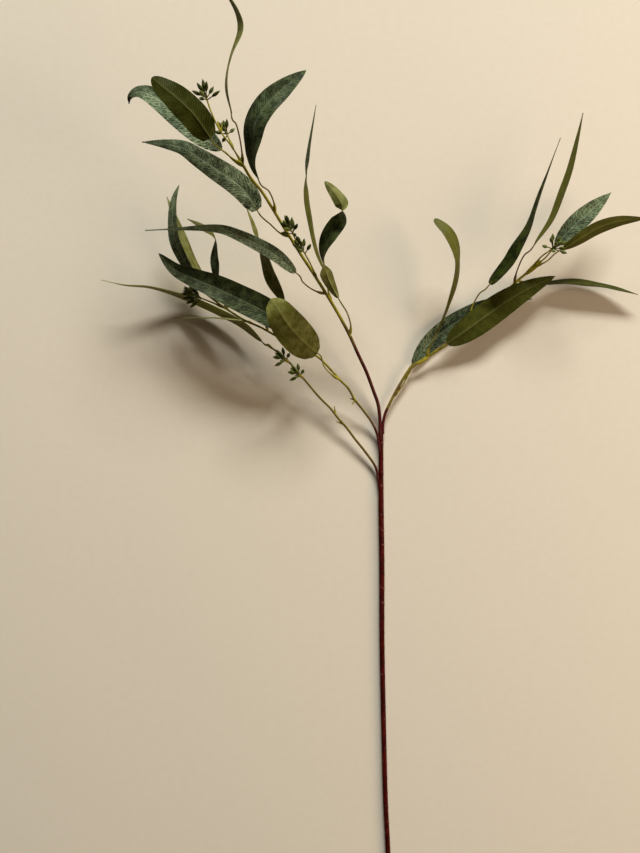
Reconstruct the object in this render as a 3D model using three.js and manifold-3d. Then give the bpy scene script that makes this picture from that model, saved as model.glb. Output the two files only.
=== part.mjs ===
// An artificial willow eucalyptus branch, lying on a surface. Millimetres, +Z up.
// A wrapped main stem with a wire core carries four moulded sprigs with their leaf stalks and bud stalks.
// Leaves push onto the leaf stalks, and bunches of small buds onto the bud stalks.
// The origin is the middle of the branch's footprint, on the surface that it lies on.

import * as THREE from 'three';
import { mergeVertices } from 'three/addons/utils/BufferGeometryUtils.js';
import Module from 'manifold-3d';

const wasm = await Module();
wasm.setup();

// Driving dimensions
const BLADE_THICKNESS = 0.8;
const BLADE_STEPS = 12;
const TWISTED_STEPS = 24;
const TWISTED_SPAN = 100;
const BLADE_BASE_HALF = 0.8;
const BLADE_TIP_HALF = 0.5;
const BLADE_FULLNESS = 1.6;
const BLADE_FOLD = 0.1;
const NARROW_WIDTH = 14;
const NARROW_COLUMNS = 2;
const WIDE_COLUMNS = 4;
const STEM_SIDES = 12;
const STEM_STEPS = 16;
const WIRE_RADIUS = 1.1;
const BORE_RADIUS = 1.4;
const BORE_OVERRUN = 1;
const WIRE_SIDES = 8;
const SPRIG_SIDES = 8;
const SPRIG_STEP = 14;
const STALK_SIDES = 5;
const STALK_STEP = 6;
const STALK_RADIUS = 0.75;
const SOCKET_RADIUS = 1.5;
const SOCKET_MIDDLE = 5;
const SOCKET_REACH = 4;
const STALK_RUN_IN = 6;
const NUB_RADII = [1, 0.5];
const SEAT_GAP = 0.4;
const BIND_GAP = 0.3;
const BUD_SIDES = 5;
const BUD_RADIUS = 1.4;
const PEDICEL_RADIUS = 0.5;
const PEDICEL_SHARE = 0.4;
const BUD_BELLY = 0.42;
const HUB_RADIUS = 1.6;
const HUB_SIDES = 6;
const HUB_RINGS = 4;
const INNER_LEAN = 10;
const OUTER_LEAN = 78;
const MERGE_DISTANCE = 1e-3;
const GOLDEN_TURN = Math.PI * (3 - Math.sqrt(5));
const UP = new THREE.Vector3(0, 0, 1);
const LATHE_AXIS = new THREE.Vector3(0, 1, 0);

// The plan is laid out as seen by an eye straight above: [right, down, height], where right and down are
// measured on the surface. A raised point therefore draws in towards the foot of the eye's axis.
const EYE_HEIGHT = 1200;
const EYE_RIGHT = 320;
const EYE_DOWN = 426;
const MIDDLE_X = 54;
const MIDDLE_Y = -53;

const WRAP = new THREE.MeshStandardMaterial({ color: 0x4a1512, roughness: 0.6, metalness: 0 });
const WIRE = new THREE.MeshStandardMaterial({ color: 0x9a9a98, roughness: 0.35, metalness: 1 });
const MOULDED = new THREE.MeshStandardMaterial({ color: 0x8a7f2c, roughness: 0.5, metalness: 0 });
const LEAF = new THREE.MeshStandardMaterial({ color: 0x41532f, roughness: 0.7, metalness: 0 });
const BUD = new THREE.MeshStandardMaterial({ color: 0x2f3a1c, roughness: 0.55, metalness: 0 });

// The main stem's axis, from the cut end to its head. It lies on the surface on one flat of its outline,
// so each height is the stem's radius there, measured to the flat.
const STEM_LINE = [
  [390, 932, 2.4],
  [388, 853, 2.4],
  [385.5, 800, 2.4],
  [383.5, 720, 2.45],
  [382, 640, 2.5],
  [381.8, 560, 2.65],
  [381, 500, 2.65],
  [381, 465, 2.45],
  [381.2, 434, 2.15],
];
const WIRE_END = 0.94;

// Each sprig: its axis, its radius at the foot and at the tip, its leaves, its bud bunches and its nubs.
// A leaf has a stalk, a rib, a turn about the rib in degrees (0 shows the veined face, 180 the back),
// a width and the place of its belly along the rib, and may have a fullness, which is low for a blunt leaf.
// A bunch has a stalk, a count of buds and their length, and may have a lean for its outermost bud and a
// share of the length that is pedicel.
const SPRIGS = [
  {
    name: 'top',
    axis: [
      [380, 434, 4.2], [379.9, 420, 5], [378, 404, 8], [373.5, 391, 11], [366, 371, 16], [358, 354, 20],
      [350, 336, 24.5], [340, 317, 31], [330, 300, 38], [315, 276, 48], [300, 253, 57], [288, 234, 65],
      [274, 211, 76], [262, 192, 85], [250, 177, 92], [243, 165, 97],
    ],
    radii: [1.6, 1],
    leaves: [
      {
        stalk: [[243, 164, 97], [241.8, 151, 102], [239.3, 136, 108], [235.5, 123, 112]],
        rib: [[231.4, 113.5, 114], [226.8, 88, 118], [227.8, 70, 118.5], [231.1, 57, 118],
          [240.8, 30, 114], [237.7, 13, 112], [222, -14, 108]],
        turn: [78, 76, 58, 72],
        width: 12,
        belly: 0.45,
      },
      {
        stalk: [[275.5, 213, 75.5], [274, 203, 81], [268.7, 191, 88]],
        rib: [[258.5, 179.5, 97], [253.7, 169, 102], [251.8, 157, 109], [252.8, 142, 117], [255.7, 123, 123],
          [265.8, 105.7, 125], [282.9, 88.6, 123], [306, 70.5, 118]],
        turn: [75, 50, 20, 5, 0],
        width: 23.5,
        belly: 0.48,
        fullness: 1.5,
      },
      {
        stalk: [[243, 165, 97], [232, 158, 105], [220.5, 149, 112]],
        rib: [[210.5, 138.5, 117], [194, 115, 125], [178.2, 99.3, 127], [164.3, 87.9, 125],
          [152, 77.5, 119]],
        turn: [180],
        width: 26,
        belly: 0.35,
        fullness: 0.76,
      },
      {
        stalk: [[244, 167, 96.5], [233, 160, 97]],
        rib: [[222, 150, 98.5], [203, 136, 101], [180.5, 116.2, 103], [158.7, 99.7, 101.5],
          [145, 92.7, 98.5], [135.7, 92.3, 95], [129.7, 97.3, 92], [129, 104, 89]],
        turn: [0],
        width: 23.5,
        belly: 0.38,
        fullness: 1.45,
      },
      {
        stalk: [[290, 237, 63.5], [280, 233, 64], [270, 224, 68]],
        rib: [[257.5, 210.5, 72], [247, 193.7, 75.5], [234.3, 181.5, 78.5], [214.8, 168.3, 82],
          [198, 157.3, 84], [183.3, 148, 84], [165, 144, 81], [142, 142, 74]],
        turn: [0],
        width: 22.5,
        belly: 0.25,
        fullness: 1.25,
      },
      {
        stalk: [[332, 303, 36.8], [328, 290, 37]],
        rib: [[325, 272, 38], [318, 255, 42], [314, 240, 46], [310.5, 220, 50.5], [307.2, 200, 54],
          [306.3, 180, 57], [308.5, 155, 60], [316, 105, 60]],
        turn: [118, 118, 115, 108, 72, 68, 76],
        width: 12,
        belly: 0.45,
      },
      {
        stalk: [[350, 336, 24.5], [350.8, 326, 28], [347, 312.5, 36]],
        rib: [[338.5, 298.5, 44], [333, 289, 48], [328.3, 279, 52], [324, 264, 57.5], [324.5, 250, 60.5],
          [331, 233, 63.5], [340, 218, 66], [342.3, 207, 67], [336.7, 196, 66], [325, 181.5, 62]],
        turn: [185, 185, 182, 165, 95, 76, 50, 22, 0, -18, -75, -160, -172, -175, -175],
        width: 16,
        belly: 0.52,
        fullness: 1.05,
      },
      {
        stalk: [[326, 294, 40.5], [318, 292, 43], [310, 288, 46], [302, 281, 49]],
        rib: [[296, 273, 51], [276, 255.2, 56], [256, 243.6, 59], [240.7, 236.3, 60], [225, 230.2, 59.5],
          [210, 228.2, 58], [180, 228.8, 53], [145, 230.5, 48]],
        turn: [10, 12, 20, 36, 50, 57, 62],
        width: 13,
        belly: 0.22,
        fullness: 1.4,
      },
    ],
    buds: [
      {
        stalk: [[243, 165, 97], [232, 147, 103], [220.5, 131.5, 108], [212, 114, 111], [206.3, 98, 113]],
        count: 9,
        length: 16,
      },
      { stalk: [[233.5, 149.5, 102], [229.5, 140, 99], [227, 134.5, 97]], count: 8, length: 14.5 },
      { stalk: [[300, 253, 57], [296, 240.5, 67], [290.3, 229, 77]], count: 12, length: 16.5 },
      { stalk: [[317, 279, 47], [310.3, 263.5, 61], [302.2, 249, 72]], count: 9, length: 15, lean: 55 },
    ],
    nubs: [
      [[220, 131, 108], [217.5, 121, 109]],
      [[221, 132, 108], [222, 121.5, 109]],
    ],
  },
  {
    name: 'left',
    axis: [
      [380, 452, 3.5], [378.6, 441, 4], [376, 431, 5], [371, 421, 7], [363, 410, 9.5], [355, 400, 12.5],
      [348, 388, 16], [341, 381, 18.5], [331, 370, 22], [318, 357, 25.5], [300, 348, 28], [280, 338, 30],
      [260, 327, 32], [245, 320.5, 33], [235, 314.5, 33], [221, 305.2, 32.5], [207, 294.5, 32],
    ],
    radii: [1.1, 0.8],
    leaves: [
      {
        stalk: [[340, 380, 19], [332, 375, 23], [324, 366, 28]],
        rib: [[317.5, 353.5, 33], [302, 340.7, 52], [287.6, 324.2, 66], [276, 306.5, 72], [271, 299, 62]],
        turn: [180],
        width: 33.5,
        belly: 0.42,
        fullness: 0.95,
      },
      {
        stalk: [[300, 348, 28.2], [293, 336, 33]],
        rib: [[285, 325, 38], [262.5, 310.3, 43], [235, 296.5, 47], [215, 287, 48], [194.5, 278.5, 47],
          [175.5, 269.7, 44], [158.7, 253.5, 40]],
        turn: [-6],
        width: 26.5,
        belly: 0.26,
        fold: 0.2,
        fullness: 0.95,
      },
      {
        stalk: [[304, 350, 27.6], [300, 335, 32], [292, 317, 38]],
        rib: [[284.5, 303, 40], [271.7, 278, 40], [263.7, 255, 42], [257.5, 235, 43], [246.3, 207, 45]],
        turn: [38, 40, 62, 112, 118],
        width: 16.5,
        belly: 0.4,
      },
      {
        stalk: [[228, 309.8, 32.7], [221.5, 297, 31]],
        rib: [[217, 284, 29], [214.9, 262, 32], [214.9, 238, 36], [203, 227, 37], [187.5, 219, 34]],
        turn: [30, 30, 70, 150, 165],
        width: 11,
        belly: 0.4,
      },
      {
        stalk: [[209.5, 296.5, 32.1], [207, 291, 33]],
        rib: [[199.3, 282.3, 33], [183.7, 260.3, 35], [175.3, 240, 37], [172.5, 215, 39], [174.7, 198, 40],
          [179, 185, 41]],
        turn: [40],
        width: 14,
        belly: 0.45,
        fullness: 1.3,
      },
      {
        stalk: [[218, 303, 32.4], [213, 294, 29]],
        rib: [[207, 283, 26], [193.5, 262, 26], [183, 238, 27], [174.5, 217, 28], [167, 197, 28]],
        turn: [150],
        width: 9.5,
        belly: 0.45,
      },
      {
        stalk: [[254, 324.4, 32.4], [249, 322, 30]],
        rib: [[243, 321, 28], [225, 318.5, 21], [205, 317.5, 12], [175, 318.5, 0.9]],
        turn: [100],
        width: 9,
        belly: 0.4,
      },
    ],
    buds: [
      {
        stalk: [[225, 308, 32.6], [212, 302.5, 29.5], [198.5, 297, 29.5]],
        count: 13,
        length: 17.5,
        lean: 62,
      },
      { stalk: [[268, 331.5, 31.2], [267, 328, 30]], count: 4, length: 8 },
    ],
    nubs: [[[355, 400, 12.5], [350, 398.5, 12.5]]],
  },
  {
    name: 'low',
    axis: [
      [379.5, 490, 3], [378, 478, 3.2], [375.5, 467, 4], [365, 451.5, 5.5], [355, 439, 7], [346, 427, 8.5],
      [338, 418, 10], [331, 409, 11], [320, 398, 12.5], [303, 378, 15], [285, 358, 17], [272, 348, 17.8],
    ],
    radii: [1.3, 0.8],
    leaves: [
      {
        stalk: [[273, 349, 17.8], [267, 344.5, 17]],
        rib: [[262, 341.5, 16], [243.6, 325.2, 12], [220.4, 312.2, 9], [190.4, 299, 9], [150, 287, 18],
          [125, 285, 23], [101, 280, 26]],
        turn: [50, 48, 60, 70, 80],
        width: 11,
        belly: 0.3,
      },
    ],
    buds: [
      { stalk: [[303.5, 378.5, 14.9], [299, 374.5, 21]], count: 10, length: 15.5, lean: 58 },
      { stalk: [[289, 362.5, 16.5], [284.5, 359, 22]], count: 10, length: 16, lean: 60 },
    ],
    nubs: [
      [[335.6, 414, 10.3], [334.2, 406, 11]],
      [[343, 424, 9], [336, 421.5, 9]],
    ],
  },
  {
    name: 'right',
    axis: [
      [382.9, 434, 3], [383, 424, 3.2], [385, 414, 3.6], [389, 405, 4.2], [394, 395, 4.8], [401, 382.5, 5.5],
      [411, 368, 6.5], [435, 352, 8], [460, 335, 9], [490, 308, 10], [515, 283, 11.5], [534, 267, 19],
    ],
    radii: [1.2, 1.1],
    leaves: [
      {
        stalk: [[401, 382, 5.4], [408, 372, 4.6]],
        rib: [[412, 365, 4.2], [430.5, 342, 4], [457, 321.5, 3.4], [490, 305, 2.4], [532, 299, 0.9]],
        turn: [-12],
        width: 20,
        belly: 0.36,
      },
      {
        stalk: [[432, 354, 7.8], [440, 349, 10]],
        rib: [[447, 344, 12], [475.4, 323.9, 13.4], [504.4, 302.9, 14.7], [529.5, 288, 14.2],
          [555, 276.2, 12]],
        turn: [180],
        width: 26.8,
        belly: 0.38,
        fullness: 1.25,
      },
      {
        stalk: [[426, 357.5, 7.4], [430, 346, 13]],
        rib: [[437.5, 332, 19], [448.3, 307, 27], [455.7, 283, 34], [458.2, 262, 38], [455.7, 246, 40],
          [448.5, 232, 40.5], [434.5, 219, 37]],
        turn: [112, 112, 112, 118, 150, 165],
        width: 14,
        belly: 0.62,
        fullness: 1,
      },
      {
        stalk: [[467, 328.7, 9.3], [470, 315, 9.8], [473, 305, 10.3], [480, 293, 17]],
        rib: [[489.5, 284.5, 23], [509.2, 261.7, 30], [516.7, 248, 33], [529, 226, 36], [535.5, 208, 37],
          [541.3, 190, 38], [560.5, 138, 38]],
        turn: [38, 45, 72, 78, 80],
        width: 14.5,
        belly: 0.22,
      },
      {
        stalk: [[514, 284, 11.2], [517, 271, 18], [524.5, 255, 27]],
        rib: [[534, 245, 32], [552, 218, 37], [564.9, 185, 40], [574.6, 152, 42], [583, 113, 42]],
        turn: [62, 60, 60, 65],
        width: 10.5,
        belly: 0.4,
      },
      {
        stalk: [[532, 268.6, 18.3], [541, 257, 25]],
        rib: [[554.5, 245.6, 31], [573.4, 226.2, 32], [592.1, 209.2, 30], [611, 192.7, 25]],
        turn: [0],
        width: 18.5,
        belly: 0.42,
      },
      {
        stalk: [[533, 267.8, 18.6], [547, 261, 27]],
        rib: [[561, 250, 35.5], [580, 238.8, 40], [600, 227.1, 41], [620, 221.3, 39], [648, 218, 33]],
        turn: [150],
        width: 13.8,
        belly: 0.4,
      },
      {
        stalk: [[518, 280.5, 12], [523, 282.5, 10.2], [530, 284, 9]],
        rib: [[540, 284, 8.5], [565, 282, 8.5], [585, 283.2, 8.5], [602, 285.7, 9], [620, 289.7, 10],
          [638, 294.6, 11.5]],
        turn: [55],
        width: 12,
        belly: 0.4,
      },
    ],
    buds: [
      {
        stalk: [[533, 267.8, 18.6], [545, 258, 30], [552, 250, 42]],
        count: 11,
        length: 16.5,
        pedicel: 0.55,
      },
    ],
    nubs: [],
  },
];

function place([right, down, height]) {
  const nearness = 1 - height / EYE_HEIGHT;
  const x = (right - EYE_RIGHT) * nearness - MIDDLE_X;
  const y = (EYE_DOWN - down) * nearness - MIDDLE_Y;
  return new THREE.Vector3(x, y, height);
}

function curveThrough(points) {
  return new THREE.CatmullRomCurve3(points.map(place));
}

// A value read off a list that is spread evenly from 0 to 1
function readList(list, u) {
  const position = u * (list.length - 1);
  const before = Math.min(Math.floor(position), Math.max(list.length - 2, 0));
  const after = Math.min(before + 1, list.length - 1);
  return THREE.MathUtils.lerp(list[before], list[after], position - before);
}

// Directions at a place on a curve: along it, level across it to the right, and out of its upper side
function frameAt(curve, u) {
  const point = curve.getPointAt(u);
  const along = curve.getTangentAt(u);
  const across = new THREE.Vector3().crossVectors(along, UP).normalize();
  const out = new THREE.Vector3().crossVectors(across, along);
  return { point, along, across, out };
}

function meshGeometry(points, triangles) {
  const geometry = new THREE.BufferGeometry().setFromPoints(points);
  geometry.setIndex(triangles.flat());
  geometry.computeVertexNormals();
  return geometry;
}

// A closed round bar along a curve, with a radius of its own at each place
function bar(curve, radiusAt, sides, steps) {
  const points = [];
  const triangles = [];
  for (let step = 0; step <= steps; step += 1) {
    const { point, across, out } = frameAt(curve, step / steps);
    const radius = radiusAt(step / steps, point);
    for (let side = 0; side < sides; side += 1) {
      const angle = (2 * Math.PI * (side + 0.5)) / sides;
      const corner = point.clone().addScaledVector(across, radius * Math.cos(angle));
      points.push(corner.addScaledVector(out, radius * Math.sin(angle)));
    }
  }
  const corner = (step, side) => step * sides + (side % sides);
  for (let step = 0; step < steps; step += 1) {
    for (let side = 0; side < sides; side += 1) {
      triangles.push([corner(step, side), corner(step + 1, side), corner(step, side + 1)]);
      triangles.push([corner(step, side + 1), corner(step + 1, side), corner(step + 1, side + 1)]);
    }
  }
  const foot = points.push(curve.getPointAt(0)) - 1;
  const tip = points.push(curve.getPointAt(1)) - 1;
  for (let side = 0; side < sides; side += 1) {
    triangles.push([foot, corner(0, side), corner(0, side + 1)]);
    triangles.push([tip, corner(steps, side + 1), corner(steps, side)]);
  }
  return meshGeometry(points, triangles);
}

// Half the width of a blade at a place along its rib: pointed at both ends, fullest at the belly
function bladeHalf(u, { width, belly, fullness = BLADE_FULLNESS }) {
  const rise = Math.pow(u / belly, fullness * belly);
  const fall = Math.pow((1 - u) / (1 - belly), fullness * (1 - belly));
  const least = THREE.MathUtils.lerp(BLADE_BASE_HALF, BLADE_TIP_HALF, u);
  return Math.max(least, (width / 2) * rise * fall);
}

// A leaf blade: a thin sheet laid across its rib, turned about it and folded a little along it.
// Both faces are split along the same diagonals.
function blade(leaf) {
  const { rib, turn, width, fold = BLADE_FOLD } = leaf;
  const curve = curveThrough(rib);
  const columns = width < NARROW_WIDTH ? NARROW_COLUMNS : WIDE_COLUMNS;
  const steps = Math.max(...turn) - Math.min(...turn) > TWISTED_SPAN ? TWISTED_STEPS : BLADE_STEPS;
  const points = [];
  const triangles = [];
  for (let step = 0; step <= steps; step += 1) {
    const u = step / steps;
    const { point, across, out } = frameAt(curve, u);
    const angle = THREE.MathUtils.degToRad(readList(turn, u));
    const side = across.clone().multiplyScalar(Math.cos(angle)).addScaledVector(out, Math.sin(angle));
    const face = out.clone().multiplyScalar(Math.cos(angle)).addScaledVector(across, -Math.sin(angle));
    const half = bladeHalf(u, leaf);
    for (let column = 0; column <= columns; column += 1) {
      const share = (2 * column) / columns - 1;
      const middle = point.clone().addScaledVector(side, share * half);
      middle.addScaledVector(face, fold * half * Math.abs(share));
      points.push(middle.clone().addScaledVector(face, BLADE_THICKNESS / 2));
      points.push(middle.clone().addScaledVector(face, -BLADE_THICKNESS / 2));
    }
  }
  const top = (step, column) => 2 * (step * (columns + 1) + column);
  const back = (step, column) => top(step, column) + 1;
  for (let step = 0; step < steps; step += 1) {
    const next = step + 1;
    for (let column = 0; column < columns; column += 1) {
      const right = column + 1;
      triangles.push([top(step, column), top(step, right), top(next, right)]);
      triangles.push([top(step, column), top(next, right), top(next, column)]);
      triangles.push([back(step, column), back(next, right), back(step, right)]);
      triangles.push([back(step, column), back(next, column), back(next, right)]);
    }
    triangles.push([top(step, 0), top(next, 0), back(step, 0)]);
    triangles.push([top(next, 0), back(next, 0), back(step, 0)]);
    triangles.push([top(step, columns), back(step, columns), top(next, columns)]);
    triangles.push([top(next, columns), back(step, columns), back(next, columns)]);
  }
  for (let column = 0; column < columns; column += 1) {
    const right = column + 1;
    triangles.push([top(0, column), back(0, column), top(0, right)]);
    triangles.push([top(0, right), back(0, column), back(0, right)]);
    triangles.push([top(steps, column), top(steps, right), back(steps, column)]);
    triangles.push([top(steps, right), back(steps, right), back(steps, column)]);
  }
  return meshGeometry(points, triangles);
}

// A closed geometry as a solid that can be joined and cut
function solid(geometry) {
  const bare = geometry.clone();
  bare.deleteAttribute('normal');
  bare.deleteAttribute('uv');
  const merged = mergeVertices(bare, MERGE_DISTANCE);
  const corners = merged.index.array;
  const triVerts = [];
  for (let first = 0; first < corners.length; first += 3) {
    const [a, b, c] = corners.slice(first, first + 3);
    if (a !== b && b !== c && c !== a) triVerts.push(a, b, c);
  }
  return new wasm.Manifold(new wasm.Mesh({
    numProp: 3,
    vertProperties: merged.attributes.position.array,
    triVerts: Uint32Array.from(triVerts),
  }));
}

function geometryOf(body) {
  const { vertProperties, triVerts } = body.getMesh();
  const geometry = new THREE.BufferGeometry();
  geometry.setAttribute('position', new THREE.BufferAttribute(vertProperties, 3));
  geometry.setIndex(new THREE.BufferAttribute(triVerts, 1));
  geometry.computeVertexNormals();
  return geometry;
}

// A bar along the main stem's axis, up to a share of its length, with both ends pushed out a little
function stemBar(radiusAt, sides, extra, share = 1) {
  const whole = curveThrough(STEM_LINE);
  const last = STEM_LINE.length - 1;
  const points = STEM_LINE.map((spot, number) => whole.getPointAt((share * number) / last));
  points[0].addScaledVector(whole.getTangentAt(0), -extra);
  points[last].addScaledVector(whole.getTangentAt(share), extra);
  return solid(bar(new THREE.CatmullRomCurve3(points), radiusAt, sides, STEM_STEPS));
}

function stemRadius(u, point) {
  return point.z / Math.cos(Math.PI / STEM_SIDES);
}

function mainStem() {
  const bore = stemBar(() => BORE_RADIUS, WIRE_SIDES, BORE_OVERRUN, WIRE_END);
  return geometryOf(stemBar(stemRadius, STEM_SIDES, 0).subtract(bore));
}

function stemWire() {
  return geometryOf(stemBar(() => WIRE_RADIUS, WIRE_SIDES, 0, WIRE_END));
}

// A stalk swells into a socket a little way from where it leaves its sprig
function stalkRadius(length) {
  return (u) => {
    const offset = (u * length - SOCKET_MIDDLE) / SOCKET_REACH;
    return STALK_RADIUS + (SOCKET_RADIUS - STALK_RADIUS) * Math.exp(-offset * offset);
  };
}

function stalkBar(points) {
  const curve = new THREE.CatmullRomCurve3(points);
  const length = curve.getLength();
  return solid(bar(curve, stalkRadius(length), STALK_SIDES, Math.ceil(length / STALK_STEP)));
}

// A leaf's stalk runs straight in to the blade and stops just short of it
function leafStalk({ stalk, rib }) {
  const curve = curveThrough(rib);
  const base = curve.getPointAt(0);
  const along = curve.getTangentAt(0);
  const runIn = base.clone().addScaledVector(along, -STALK_RUN_IN);
  const seat = base.clone().addScaledVector(along, -SEAT_GAP);
  return stalkBar([...stalk.map(place), runIn, seat]);
}

function budStalk({ stalk }) {
  return stalkBar(stalk.map(place));
}

function nub([root, tip]) {
  const curve = curveThrough([root, tip]);
  return solid(bar(curve, (u) => readList(NUB_RADII, u), STALK_SIDES, 1));
}

function sprig({ axis, radii, leaves, buds, nubs }, clearance) {
  const curve = curveThrough(axis);
  const steps = Math.ceil(curve.getLength() / SPRIG_STEP);
  const trunk = solid(bar(curve, (u) => readList(radii, u), SPRIG_SIDES, steps));
  const branches = [...leaves.map(leafStalk), ...buds.map(budStalk), ...nubs.map(nub)];
  const whole = branches.reduce((body, branch) => body.add(branch), trunk);
  return geometryOf(whole.subtract(clearance));
}

// A bud on its pedicel, standing on the origin along +Y
function budGeometry(length, pedicel) {
  const belly = THREE.MathUtils.lerp(pedicel, 1, BUD_BELLY);
  const outline = [
    new THREE.Vector2(0, 0),
    new THREE.Vector2(PEDICEL_RADIUS, 0),
    new THREE.Vector2(PEDICEL_RADIUS, pedicel * length),
    new THREE.Vector2(BUD_RADIUS, belly * length),
    new THREE.Vector2(0, length),
  ];
  return new THREE.LatheGeometry(outline, BUD_SIDES);
}

// A bunch of buds fanned round the end of its stalk, each a golden turn on from the last
function bunch({ stalk, count, length, lean = OUTER_LEAN, pedicel = PEDICEL_SHARE }) {
  const ends = stalk.slice(-2).map(place);
  const aim = ends[1].clone().sub(ends[0]).normalize();
  const hubPlace = ends[1].clone().addScaledVector(aim, HUB_RADIUS + SEAT_GAP);
  const hub = new THREE.SphereGeometry(HUB_RADIUS, HUB_SIDES, HUB_RINGS);
  hub.translate(hubPlace.x, hubPlace.y, hubPlace.z);
  const standUp = new THREE.Quaternion().setFromUnitVectors(LATHE_AXIS, aim);
  let body = solid(hub);
  for (let number = 0; number < count; number += 1) {
    const slope = THREE.MathUtils.degToRad(readList([INNER_LEAN, lean], number / (count - 1)));
    const tip = new THREE.Vector3(
      Math.sin(slope) * Math.cos(GOLDEN_TURN * number),
      Math.cos(slope),
      Math.sin(slope) * Math.sin(GOLDEN_TURN * number),
    );
    const bud = budGeometry(length, pedicel);
    bud.applyQuaternion(new THREE.Quaternion().setFromUnitVectors(LATHE_AXIS, tip));
    bud.applyQuaternion(standUp);
    bud.translate(hubPlace.x, hubPlace.y, hubPlace.z);
    body = body.add(solid(bud));
  }
  return geometryOf(body);
}

const branch = new THREE.Group();

function addMesh(name, geometry, material) {
  const mesh = new THREE.Mesh(geometry, material);
  mesh.name = name;
  branch.add(mesh);
}

addMesh('main_stem', mainStem(), WRAP);
addMesh('stem_wire', stemWire(), WIRE);
const clearance = stemBar((u, point) => stemRadius(u, point) + BIND_GAP, STEM_SIDES, BIND_GAP);
for (const plan of SPRIGS) {
  addMesh(`${plan.name}_sprig`, sprig(plan, clearance), MOULDED);
  plan.leaves.forEach((leaf, number) => addMesh(`${plan.name}_leaf_${number + 1}`, blade(leaf), LEAF));
  plan.buds.forEach((buds, number) => addMesh(`${plan.name}_buds_${number + 1}`, bunch(buds), BUD));
}

export default branch;
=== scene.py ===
# %% [markdown]
# # A branch of artificial eucalyptus
# The real branch is a florist's stem that is bent to shape by hand. A wire core is wrapped in dark
# red tape, four moulded sprigs are bound to its head, printed leaves are pushed onto their stalks,
# and small bunches of buds stand between the leaves.
# The CAD solids already hold every piece in its place. So the lesson loads them as a fixed frame and
# models a finer piece over each one, in metres and in the same place.

import math
import random

import bmesh
import bpy
import numpy as np
from mathutils import Matrix, Vector
from mathutils.kdtree import KDTree


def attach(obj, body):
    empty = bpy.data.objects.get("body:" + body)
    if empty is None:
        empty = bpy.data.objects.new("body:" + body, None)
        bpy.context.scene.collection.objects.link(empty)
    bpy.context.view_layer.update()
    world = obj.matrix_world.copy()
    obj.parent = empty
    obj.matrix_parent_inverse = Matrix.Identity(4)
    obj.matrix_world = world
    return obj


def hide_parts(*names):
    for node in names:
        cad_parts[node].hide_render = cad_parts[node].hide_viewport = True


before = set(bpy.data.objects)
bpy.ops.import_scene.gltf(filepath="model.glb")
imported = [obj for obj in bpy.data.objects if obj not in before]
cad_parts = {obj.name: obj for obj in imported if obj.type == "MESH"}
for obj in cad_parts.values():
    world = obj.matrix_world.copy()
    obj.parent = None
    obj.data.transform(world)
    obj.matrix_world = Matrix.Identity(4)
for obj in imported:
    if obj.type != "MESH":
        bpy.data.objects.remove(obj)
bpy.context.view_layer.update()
bpy.ops.object.select_all(action="DESELECT")
print("CAD nodes:", len(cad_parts))

# %% [markdown]
# ## The view
# The photograph was taken from straight above, with the branch lying flat. A camera could be set by
# eye, but the plan of the branch was measured on the picture at one millimetre to a pixel. So the
# camera stands 1.2 m over the middle of the picture, and its lens takes in exactly 853 mm of height.

# %% Set the camera
MM = 0.001
EYE_HEIGHT = 1200
PICTURE_HEIGHT = 853
PICTURE_MIDDLE = (-54, 52.5)
SENSOR_HEIGHT = 24

eye = (PICTURE_MIDDLE[0] * MM, PICTURE_MIDDLE[1] * MM, EYE_HEIGHT * MM)
bpy.ops.object.camera_add(location=eye, rotation=(0, 0, 0))
camera = bpy.context.object
camera.data.sensor_fit = "VERTICAL"
camera.data.sensor_height = SENSOR_HEIGHT
camera.data.lens = SENSOR_HEIGHT * EYE_HEIGHT / PICTURE_HEIGHT
bpy.context.scene.camera = camera
print("lens in millimetres:", round(camera.data.lens, 2))

# %% [markdown]
# ## Tools for finishes
# A finish is a small net of shader nodes. Written out link by link it soon fills a page, so short
# helpers add a node, do a sum, ease a value between two limits, blend two colours and start a finish.
# Plastic, tape and printed cloth are all dyed a little unevenly. That effect is shared, so it is a
# node group with named sockets: patches a few millimetres across, and a fine grain.

# %% Node helpers and the uneven dye
def add(tree, kind, values=None, **settings):
    """Adds a node, and fills its sockets with plain values or with links."""
    node = tree.nodes.new("ShaderNode" + kind)
    for name, setting in settings.items():
        setattr(node, name, setting)
    for name, value in (values or {}).items():
        if isinstance(value, bpy.types.NodeSocket):
            tree.links.new(value, node.inputs[name])
        else:
            node.inputs[name].default_value = value
    return node


def reckon(tree, operation, *values):
    """One sum on one, two or three values."""
    return add(tree, "Math", dict(enumerate(values)), operation=operation).outputs[0]


def ease(tree, value, low, high):
    """0 at low, 1 at high, and a soft slope between them."""
    limits = {"Value": value, "From Min": low, "From Max": high}
    return add(tree, "MapRange", limits, interpolation_type="SMOOTHSTEP").outputs[0]


def blend(tree, share, first, second):
    """The first colour where share is 0, the second where it is 1."""
    return add(tree, "Mix", {0: share, 6: first, 7: second}, data_type="RGBA").outputs[2]


def new_finish(name, roughness, gloss=0.06):
    """A material with its node tree and its shader."""
    finish = bpy.data.materials.new(name)
    finish.use_nodes = True
    shader = finish.node_tree.nodes["Principled BSDF"]
    shader.inputs["Roughness"].default_value = roughness
    shader.inputs["Specular IOR Level"].default_value = gloss
    return finish, finish.node_tree, shader


PATCHES_PER_METRE = 140
PATCH_LIMITS = (0.35, 0.65)
GRAINS_PER_METRE = 1500
GRAIN_LIMITS = (0.3, 0.7)
RELIEF_DEPTH = 0.0002

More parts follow.
